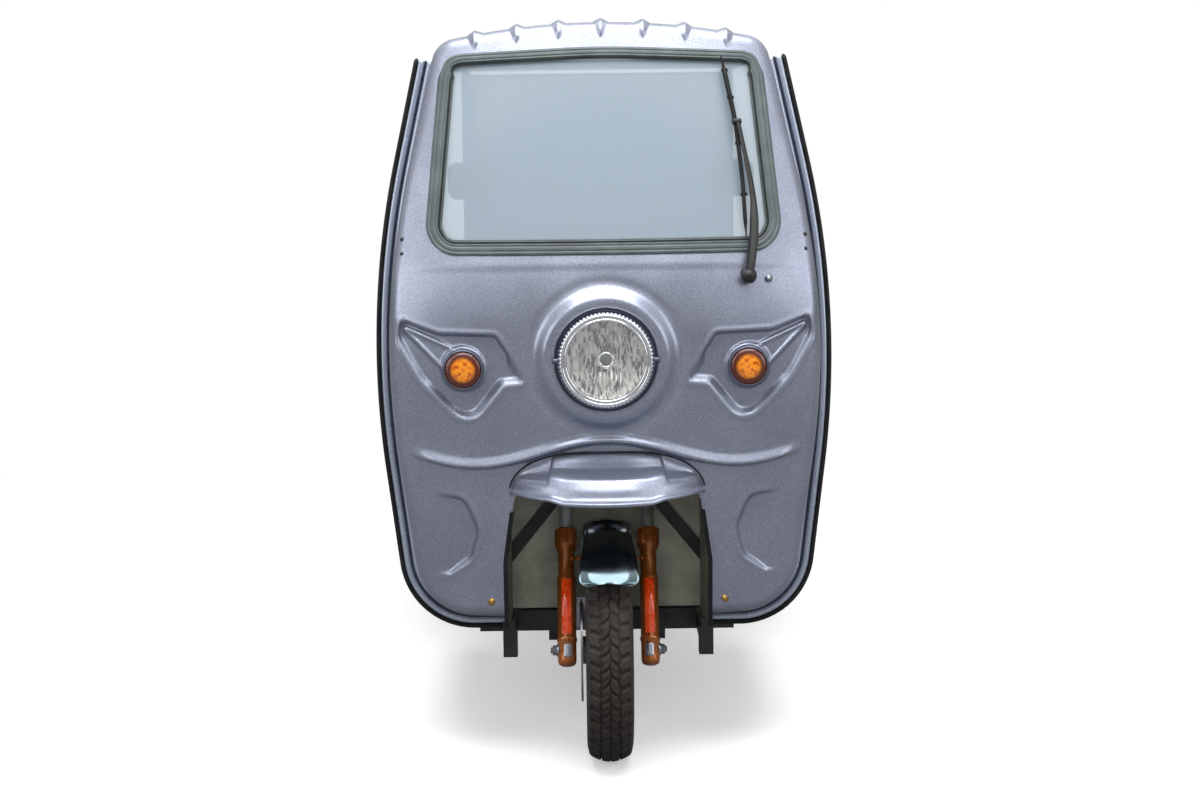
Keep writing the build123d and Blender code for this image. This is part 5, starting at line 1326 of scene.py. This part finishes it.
def leg_patch(profile, x, facets):
    """A turned leg beside the steering axis, from pairs of radius and distance along it. The
    rows that facets marks are pulled in towards a hexagon."""
    steps = 64
    angle = np.linspace(0, 2 * np.pi, steps + 1)
    flat = np.cos(np.pi / 6) / np.cos((angle % (np.pi / 3)) - np.pi / 6)
    radius = profile[:, :1] * (1 + facets[:, None] * (flat[None] - 1))
    local = np.stack((
        x + radius * np.cos(angle), np.repeat(profile[:, 1:], steps + 1, 1),
        YOKE_OFFSET + radius * np.sin(angle)), -1)
    return weave(steered(local), True)


class TRICYCLE_OT_fork(bpy.types.Operator):
    """Turns the fork's lower legs with their collars, and adds reflectors, caps and lugs"""

    bl_idname = "tricycle.fork"
    bl_label = "Fork legs"

    def execute(self, context):
        profile = np.array((
            (0, -37), (12, -37), (18, -34), (20.5, -30), (21.5, -24), (21.5, 18), (23, 20), (23.5, 24),
            (23, 28), (21.5, 30), (21.5, 168), (20.5, 172), (18.8, 178), (18.6, 230), (22, 238),
            (25.8, 246), (26.4, 250), (26.4, 282), (25.6, 285), (22, 287), (16.4, 287), (16.4, 280)))
        facets = np.where(profile[:, 1] > 246, 0.25, 0.0)
        patches, chrome, red = [], [], []
        for side in (-1, 1):
            patches.append(leg_patch(profile, side * LEG_X, facets))
            patches.append(self.lug(side))
            red.append(self.reflector(side))
            chrome.append(self.foot_pad(side))
            chrome.append(self.axle_nut(side))
        patches.append(self.caliper_arm())
        make_piece("fork_legs", patches, "fork_bronze", "steering", ("fork_lowers",))
        make_piece("leg_reflectors", red, "reflex_lens", "steering")
        make_piece("axle_and_pads", chrome, "steel", "steering")
        return {"FINISHED"}

    def lug(self, side):
        """A short bar from the leg to the fender, ending in a bolt head."""
        x = side * np.array((62, 66, 66, 78, 78, 84))
        local = np.column_stack((x, np.full(6, 214.0), np.full(6, YOKE_OFFSET + 10.0)))
        return weave(tube(steered(local), (8, 8, 5, 5, 7, 7), 12))

    def reflector(self, side):
        """A thin curved strip let into the front of the leg."""
        spread = np.linspace(math.radians(90 - 34), math.radians(90 + 34), 11)
        ends = np.array((34, 35, 163, 164.0))
        proud = np.array((0, 1.6, 1.6, 0))
        radius = 21.3 + proud[:, None] * np.ones(11)
        radius[:, (0, -1)] = 21.0
        local = np.stack((
            side * LEG_X + radius * np.cos(spread), np.repeat(ends[:, None], 11, 1),
            YOKE_OFFSET + radius * np.sin(spread)), -1)
        return weave(steered(local), True)

    def foot_pad(self, side):
        """The pale square pad on the front of the leg's foot."""
        u = np.linspace(-1, 1, 17)
        edge = 1.8 * (1 - smooth(np.abs(u), 0.86, 1.0))
        height = np.minimum.outer(edge, edge)
        a, b = np.meshgrid(u * 10.5, u * 16 - 4, indexing="ij")
        ahead = YOKE_OFFSET + np.sqrt(21.8 ** 2 - a ** 2) + height - 0.6
        return weave(steered(np.stack((side * (LEG_X - 2) + a, b, ahead), -1)), False)

    def axle_nut(self, side):
        """The axle's end outside the leg, with its flanged hexagon nut."""
        end = side * (LEG_X + np.array((16, 24, 24, 33, 33, 38)))
        path = np.column_stack((end, np.zeros(6), np.full(6, float(AXLE_Z))))
        return weave(tube(path, (15, 15, 12, 12, 8, 7), 6))

    def caliper_arm(self):
        """The bracket from the left leg that carries the brake caliper."""
        x = -np.linspace(LEG_X - 8, DISC_X + 17.5, 5)
        local = np.column_stack((x, np.full(5, 95.0), np.full(5, 12.0)))
        return weave(tube(steered(local), (26, 25, 25, 25, 24), 8, 0.9))


class TRICYCLE_OT_fender(bpy.types.Operator):
    """Presses the chrome fender: crowned across, tapering upwards, with a rolled lip"""

    bl_idname = "tricycle.fender"
    bl_label = "Front fender"

    def execute(self, context):
        first, last = math.radians(FENDER_FRONT), math.radians(FENDER_REAR)
        run = np.linspace(0, 1, 121)
        angle = first + (last - first) * run
        length = FENDER_RADIUS * (angle - first)
        rest = FENDER_RADIUS * (last - angle)
        half = 66 - 13 * smooth(length, 20, 190) + 9 * smooth(length, 330, 560)
        for gap in (length, rest):
            near = np.clip(FENDER_CORNER - gap, 0, FENDER_CORNER)
            half = half - (FENDER_CORNER - np.sqrt(FENDER_CORNER ** 2 - near ** 2))
        b = np.sin(np.linspace(-np.pi / 2, np.pi / 2, 61))
        rise = 9 - 13 * np.abs(b) ** 2.4
        lip = 1.5 * np.exp(-((1 - np.abs(b)) / 0.03) ** 2)
        ends = 1.2 * np.exp(-(np.minimum(length, rest) / 4.0) ** 2)
        radius = FENDER_RADIUS - 7 + rise[None] + lip[None] + ends[:, None]
        across = half[:, None] * b[None]
        outer, inner = (round_axle(across, radius - thick, angle[:, None]) for thick in (0, 2.2))
        grid = np.concatenate((outer, inner[:, ::-1], outer[:, :1]), 1)
        make_piece("fender_shell", [weave(grid)], "worn_chrome", "steering", ("front_fender",))
        return {"FINISHED"}


def box_of(node):
    """A node's low and high corners in millimetres of x, station and z."""
    return [np.array(corner) / MM - (0, AXLE_Y / MM, 0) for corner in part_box(node)]


def rounded_box(low, high, edge, cell):
    """A box with rounded edges as six grids: each point of a face is carried to the nearest
    point of a box smaller by the radius, and from there out again by the radius."""
    low, high = np.array(low, float), np.array(high, float)
    half, centre = (high - low) / 2, (high + low) / 2
    patches = []
    for axis in range(3):
        second, third = (axis + 1) % 3, (axis + 2) % 3
        u = np.linspace(-1, 1, int(2 * half[second] / cell) + 2)
        v = np.linspace(-1, 1, int(2 * half[third] / cell) + 2)
        for sign in (-1, 1):
            face = np.zeros((len(u), len(v), 3))
            face[..., axis] = sign
            face[..., second] = u[:, None]
            face[..., third] = v[None]
            point = face * half
            core = np.clip(point, edge - half, half - edge)
            patches.append(weave(centre + core + edge * unit(point - core), sign > 0))
    return patches


def shown_mesh(context, item):
    """A copy of the mesh that an object shows with its modifiers."""
    graph = context.evaluated_depsgraph_get()
    return bpy.data.meshes.new_from_object(item.evaluated_get(graph))


def places_of(mesh):
    """A mesh's points in millimetres."""
    flat = np.empty(len(mesh.vertices) * 3, np.float32)
    mesh.vertices.foreach_get("co", flat)
    return flat.reshape(-1, 3).astype(float) / MM


def swell(context, item, held, reach):
    """Swells a pad as its filling would: an even skin under slight pressure, held at its seam
    and where it rests, and no point moved further than its reach."""
    remesh = item.modifiers.new("even", "REMESH")
    remesh.mode = "VOXEL"
    remesh.voxel_size = SWELL_CELL
    mesh = shown_mesh(context, item)
    item.modifiers.clear()
    item.data = mesh
    before = places_of(mesh)
    group = item.vertex_groups.new(name="held")
    group.add(np.flatnonzero(held(before - (0, AXLE_Y / MM, 0))).tolist(), 1.0, "REPLACE")
    cloth = item.modifiers.new("cloth", "CLOTH")
    cloth.settings.vertex_group_mass = "held"
    cloth.settings.use_pressure = True
    cloth.settings.uniform_pressure_force = SWELL_PRESSURE
    cloth.settings.effector_weights.gravity = 0
    cloth.point_cache.frame_start = 1
    cloth.point_cache.frame_end = SWELL_FRAMES
    for number in range(1, SWELL_FRAMES + 1):
        context.scene.frame_set(number)
    after = places_of(shown_mesh(context, item))
    item.modifiers.clear()
    item.vertex_groups.clear()
    context.scene.frame_set(1)
    move = after - before
    length = np.maximum(np.linalg.norm(move, axis=1), 1e-9)
    return before + move * np.minimum(1, reach / length)[:, None]


class TRICYCLE_OT_seat(bpy.types.Operator):
    """Sews the bench's cushion and backrest: swelled vinyl with channels and corded seams"""

    bl_idname = "tricycle.seat"
    bl_label = "Bench seat"

    def execute(self, context):
        for node, axis, crown in (("seat_cushion", 2, 1), ("seat_backrest", 1, -1)):
            self.pad(context, node, *box_of(node), axis, crown)
        return {"FINISHED"}

    def pad(self, context, node, low, high, axis, crown):
        """One pad: a box shy of its place by what it will swell, crowned along an axis, with a
        seam under the crowned face and its other face at rest."""
        edge = PAD_EDGE
        low, high = low + PAD_SWELL, high - PAD_SWELL
        face = high if crown > 0 else low
        rest = low if crown > 0 else high
        rest[axis] -= PAD_SWELL * crown
        face[axis] -= 2 * PAD_SWELL * crown
        seam = face[axis] - PAD_SEAM * crown
        box = rounded_box(low, high, edge, 12.0)
        item = make_piece(f"{node}_pad", box, "vinyl", replaces=(node,))

        def held(points):
            resting = (points[:, axis] - rest[axis]) * crown < 9
            return resting | (np.abs(points[:, axis] - seam) < 3.5)

        places = swell(context, item, held, PAD_EDGE)
        over = smooth((places[:, axis] - (AXLE_Y / MM if axis == 1 else 0) - seam) * crown, 2, 14)
        channel = np.exp(-((np.abs(places[:, 0]) - CHANNEL_X) / 4.5) ** 2)
        places[:, axis] -= PAD_SWELL * crown * channel * over
        item.data.vertices.foreach_set("co", (places * MM).astype(np.float32).ravel())
        item.data.polygons.foreach_set("use_smooth", np.full(len(item.data.polygons), True))
        item.data.update()
        finer = item.modifiers.new("finer", "SUBSURF")
        finer.levels = 1
        finer.render_levels = 1
        spread = edge - math.sqrt(edge ** 2 - (edge - PAD_SEAM) ** 2)
        other = 3 - axis
        half = np.array((high[0] - low[0], high[other] - low[other])) / 2 - spread
        middle = np.array((high[0] + low[0], high[other] + low[other])) / 2
        corners = middle + half * ((-1, -1), (1, -1), (1, 1), (-1, 1))
        loop = rounded(corners, edge, 5.0)
        path = np.empty((len(loop), 3))
        path[:, 0] = loop[:, 0]
        path[:, other] = loop[:, 1]
        path[:, axis] = seam
        up = np.zeros(3)
        up[axis] = 1.0
        make_piece(f"{node}_piping", [weave(tube(path, PIPING_RADIUS, 10, up=up))], "piping")


class TRICYCLE_OT_controls(bpy.types.Operator):
    """Moulds the ribbed grips and silvers the mirrors' glass"""

    bl_idname = "tricycle.controls"
    bl_label = "Grips and mirrors"

    def execute(self, context):
        out = unit(np.array((140, 22, 3.0)))
        high = box_of("grips")[1]
        end = (GRIP_X + 4 * out[0], high[1] - 16 * math.sqrt(1 - out[1] ** 2), high[2] - 16.0)
        run = np.linspace(0, GRIP_LENGTH + 3, 87)
        ribbed = smooth(run, 12, 20) * smooth(-run, -112, -104)
        ribs = 0.9 * np.abs(np.sin(np.pi * run / GRIP_RIB_PITCH)) * ribbed
        flange = 3.6 * smooth(-run, -5, -3) + 1.2 * smooth(run, 118, 122)
        path = end - (GRIP_LENGTH + 3 - run)[:, None] * out
        sleeves, glasses = [], []
        for side in (-1, 1):
            sleeves.append(weave(tube(path * (side, 1, 1), 15.4 + ribs + flange, 28)))
            centre = np.array((side * MIRROR_X, MIRROR_BACK + 0.2, MIRROR_Z))
            glasses += rounded_box(centre - (50, 1.2, 38), centre + (50, 1.2, 38), 1.1, 8)
        make_piece("grip_sleeves", sleeves, "rubber", "steering", ("grips",))
        make_piece("mirror_glasses", glasses, "mirror_glass", "steering")
        return {"FINISHED"}


class TRICYCLE_OT_rear(bpy.types.Operator):
    """Moulds the ribbed tail lamps and turns the finned motor case"""

    bl_idname = "tricycle.rear"
    bl_label = "Tail lamps and motor"

    def execute(self, context):
        low, high = box_of("tail_lamps")
        patches = []
        for side in (-1, 1):
            inner, outer = sorted((side * (high[0] - 90), side * high[0]))
            corners = ((inner, low[1], low[2]), (outer, high[1] - 1, high[2]))
            for points, quads in rounded_box(*corners, 5.0, 2.5):
                back = smooth(points[:, 1], high[1] - 3, high[1] - 1.2)
                points[:, 1] += back * 0.9 * np.cos(2 * np.pi * points[:, 0] / 7.5)
                patches.append((points, quads))
        make_piece("tail_lenses", patches, "red_lens", replaces=("tail_lamps",))
        low, high = box_of("drive_motor")
        radius = (high[2] - low[2]) / 2
        centre = (0.0, (low[1] + high[1]) / 2, (low[2] + high[2]) / 2)
        length = high[0] - low[0]
        run = np.linspace(0, length, 150)
        rest = np.minimum(run, length - run)
        fin = np.clip(np.cos(2 * np.pi * run / MOTOR_FIN_PITCH) * 2.2 + 0.5, 0, 1)
        ring = radius - MOTOR_FIN_DEPTH * (1 - fin) * smooth(rest, 26, 30)
        ring = ring - 5 * (rest < 26) * (rest > 22) - 24 * np.clip(1 - rest / 20, 0, 1) ** 2.2
        profile = np.column_stack((ring, low[0] + run))
        profile = np.vstack(((0, low[0]), profile, (0, high[0])))
        case = weave(turned(profile, centre, 72, "x"), True)
        make_piece("motor_case", [case], "cast_alloy", replaces=("drive_motor",))
        return {"FINISHED"}


class TRICYCLE_OT_stage(bpy.types.Operator):
    """Makes the pale floor, the soft light and the camera of the photograph"""

    bl_idname = "tricycle.stage"
    bl_label = "Stage"

    def execute(self, context):
        settings = context.scene.tricycle_stage
        self.make_floor(context)
        self.make_world(context)
        powers = (settings.top_light, settings.side_light, settings.side_light, settings.front_light)
        for (name, place, target, size), power in zip(LIGHTS, powers):
            lamp = bpy.data.lights.new(f"soft_{name}", "AREA")
            lamp.size = size
            lamp.energy = power
            holder = bpy.data.objects.new(f"soft_{name}", lamp)
            holder.location = np.add(place, (0, AXLE_Y, 0))
            aim = np.subtract(target, place)
            holder.rotation_mode = "QUATERNION"
            holder.rotation_quaternion = Vector(aim).to_track_quat("-Z", "Y")
            holder.visible_glossy = name != "front"
            context.scene.collection.objects.link(holder)
        self.make_camera(context, settings)
        context.scene.view_settings.view_transform = "Standard"
        return {"FINISHED"}

    def make_floor(self, context):
        """A large square on the ground: it takes the shadow near the object and is plain white
        to the eye, to metal and to glass further off."""
        corners = np.array(((-1, -1, 0), (1, -1, 0), (1, 1, 0), (-1, 1, 0))) * FLOOR_HALF
        mesh = bpy.data.meshes.new("floor")
        mesh.from_pydata(corners.tolist(), [], [(0, 1, 2, 3)])
        floor = bpy.data.objects.new("floor", mesh)
        context.scene.collection.objects.link(floor)
        white = linear(context.scene.tricycle_colours.floor)
        material, tree, shader, place = new_material(
            "Studio floor, matt", Roughness=0.9, Specular_IOR_Level=0.0, Emission_Color=white)
        seen = self.seen_rays(tree, 0.2)
        joined(tree, shader, Base_Color=blend(tree, seen, linear("#404247"), white),
               Emission_Strength=math_node(tree, "MULTIPLY", seen, 0.35))
        reach = math_node(tree, "LENGTH", place, kind="ShaderNodeVectorMath", output="Value")
        far = ramp(tree, reach, 2.4, 4.2, ease="SMOOTHSTEP")
        share = math_node(tree, "MULTIPLY", far, seen)
        plain = add_node(tree, "ShaderNodeEmission", {"Color": white, "Strength": 1.0})
        mixed = add_node(tree, "ShaderNodeMixShader", {"Fac": share})
        tree.links.new(shader.outputs["BSDF"], mixed.inputs[1])
        tree.links.new(plain.outputs["Emission"], mixed.inputs[2])
        tree.links.new(mixed.outputs["Shader"], tree.nodes["Material Output"].inputs["Surface"])
        mesh.materials.append(material)

    def seen_rays(self, tree, gloss):
        """One for rays from the eye and through glass, and a share of one for rays off metal."""
        path = add_node(tree, "ShaderNodeLightPath").outputs
        shiny = math_node(tree, "MULTIPLY", path["Is Glossy Ray"], gloss)
        clear_ray = math_node(tree, "MAXIMUM", path["Is Camera Ray"], path["Is Transmission Ray"])
        return math_node(tree, "MAXIMUM", clear_ray, shiny)

    def make_world(self, context):
        """White all round to the eye and to glass, and a softer light on the object that grows
        with height, more steeply for what shiny surfaces show."""
        world = bpy.data.worlds.new("Studio")
        world.use_nodes = True
        tree = world.node_tree
        background = tree.nodes["Background"]
        seen = self.seen_rays(tree, 0.0)
        place = add_node(tree, "ShaderNodeTexCoord").outputs["Generated"]
        height = parts_of(tree, place)["Z"]
        soft, shiny = (ramp(tree, height, 0.0, 0.75, *light) for light in ((0.32, 0.54), (0.14, 1.0)))
        gloss = add_node(tree, "ShaderNodeLightPath").outputs["Is Glossy Ray"]
        rise = add_node(tree, "ShaderNodeMix", {"Factor": gloss, "A": soft, "B": shiny}).outputs["Result"]
        joined(tree, background, Strength=math_node(tree, "MAXIMUM", seen, rise))
        background.inputs["Color"].default_value = (1, 1, 1, 1)
        context.scene.world = world

    def make_camera(self, context, settings):
        """The photograph's camera: level with the screen, looking slightly down."""
        data = bpy.data.cameras.new("photograph")
        data.lens = settings.lens
        data.sensor_width = 36.0
        data.clip_end = 200.0
        camera = bpy.data.objects.new("photograph", data)
        camera.location = (CAMERA_X, AXLE_Y - settings.distance, settings.height)
        camera.rotation_mode = "XYZ"
        turn = Matrix.Rotation(math.radians(CAMERA_TURN), 4, "Z")
        tip = Matrix.Rotation(math.radians(90) - settings.pitch, 4, "X")
        roll = Matrix.Rotation(math.radians(CAMERA_ROLL), 4, "Z")
        camera.rotation_euler = (turn @ tip @ roll).to_euler("XYZ")
        context.scene.collection.objects.link(camera)
        context.scene.camera = camera


class TRICYCLE_PT_panel(bpy.types.Panel):
    """Lists the sizes, the colours and the pieces"""

    bl_label = "Cargo Tricycle"
    bl_idname = "TRICYCLE_PT_panel"
    bl_space_type = "VIEW_3D"
    bl_region_type = "UI"
    bl_category = "Tricycle"

    def draw(self, context):
        layout = self.layout
        for group in (context.scene.tricycle_colours, context.scene.tricycle_stage):
            for name in group.__annotations__:
                layout.prop(group, name)
        for operator in OPERATORS:
            layout.operator(operator.bl_idname)


OPERATORS = (
    TRICYCLE_OT_finishes, TRICYCLE_OT_front, TRICYCLE_OT_seal, TRICYCLE_OT_moulding,
    TRICYCLE_OT_lamp, TRICYCLE_OT_indicators, TRICYCLE_OT_visor, TRICYCLE_OT_wiper,
    TRICYCLE_OT_fastenings, TRICYCLE_OT_tyres, TRICYCLE_OT_fork, TRICYCLE_OT_fender,
    TRICYCLE_OT_seat, TRICYCLE_OT_controls, TRICYCLE_OT_rear, TRICYCLE_OT_stage,
)
GROUPS = (("tricycle_colours", TricycleColours), ("tricycle_stage", TricycleStage))


def register():
    for name, group in GROUPS:
        bpy.utils.register_class(group)
        setattr(bpy.types.Scene, name, bpy.props.PointerProperty(type=group))
    for operator in OPERATORS:
        bpy.utils.register_class(operator)
    bpy.utils.register_class(TRICYCLE_PT_panel)


def unregister():
    bpy.utils.unregister_class(TRICYCLE_PT_panel)
    for operator in reversed(OPERATORS):
        bpy.utils.unregister_class(operator)
    for name, group in reversed(GROUPS):
        delattr(bpy.types.Scene, name)
        bpy.utils.unregister_class(group)


def main():
    """Registers the add-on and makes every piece."""
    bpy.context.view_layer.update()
    register()
    bpy.ops.tricycle.finishes()
    bpy.ops.tricycle.front()
    bpy.ops.tricycle.seal()
    bpy.ops.tricycle.moulding()
    bpy.ops.tricycle.lamp()
    bpy.ops.tricycle.indicators()
    bpy.ops.tricycle.visor()
    bpy.ops.tricycle.wiper()
    bpy.ops.tricycle.fastenings()
    bpy.ops.tricycle.tyres()
    bpy.ops.tricycle.fork()
    bpy.ops.tricycle.fender()
    bpy.ops.tricycle.seat()
    bpy.ops.tricycle.controls()
    bpy.ops.tricycle.rear()
    bpy.ops.tricycle.stage()


if __name__ == "__main__":
    main()
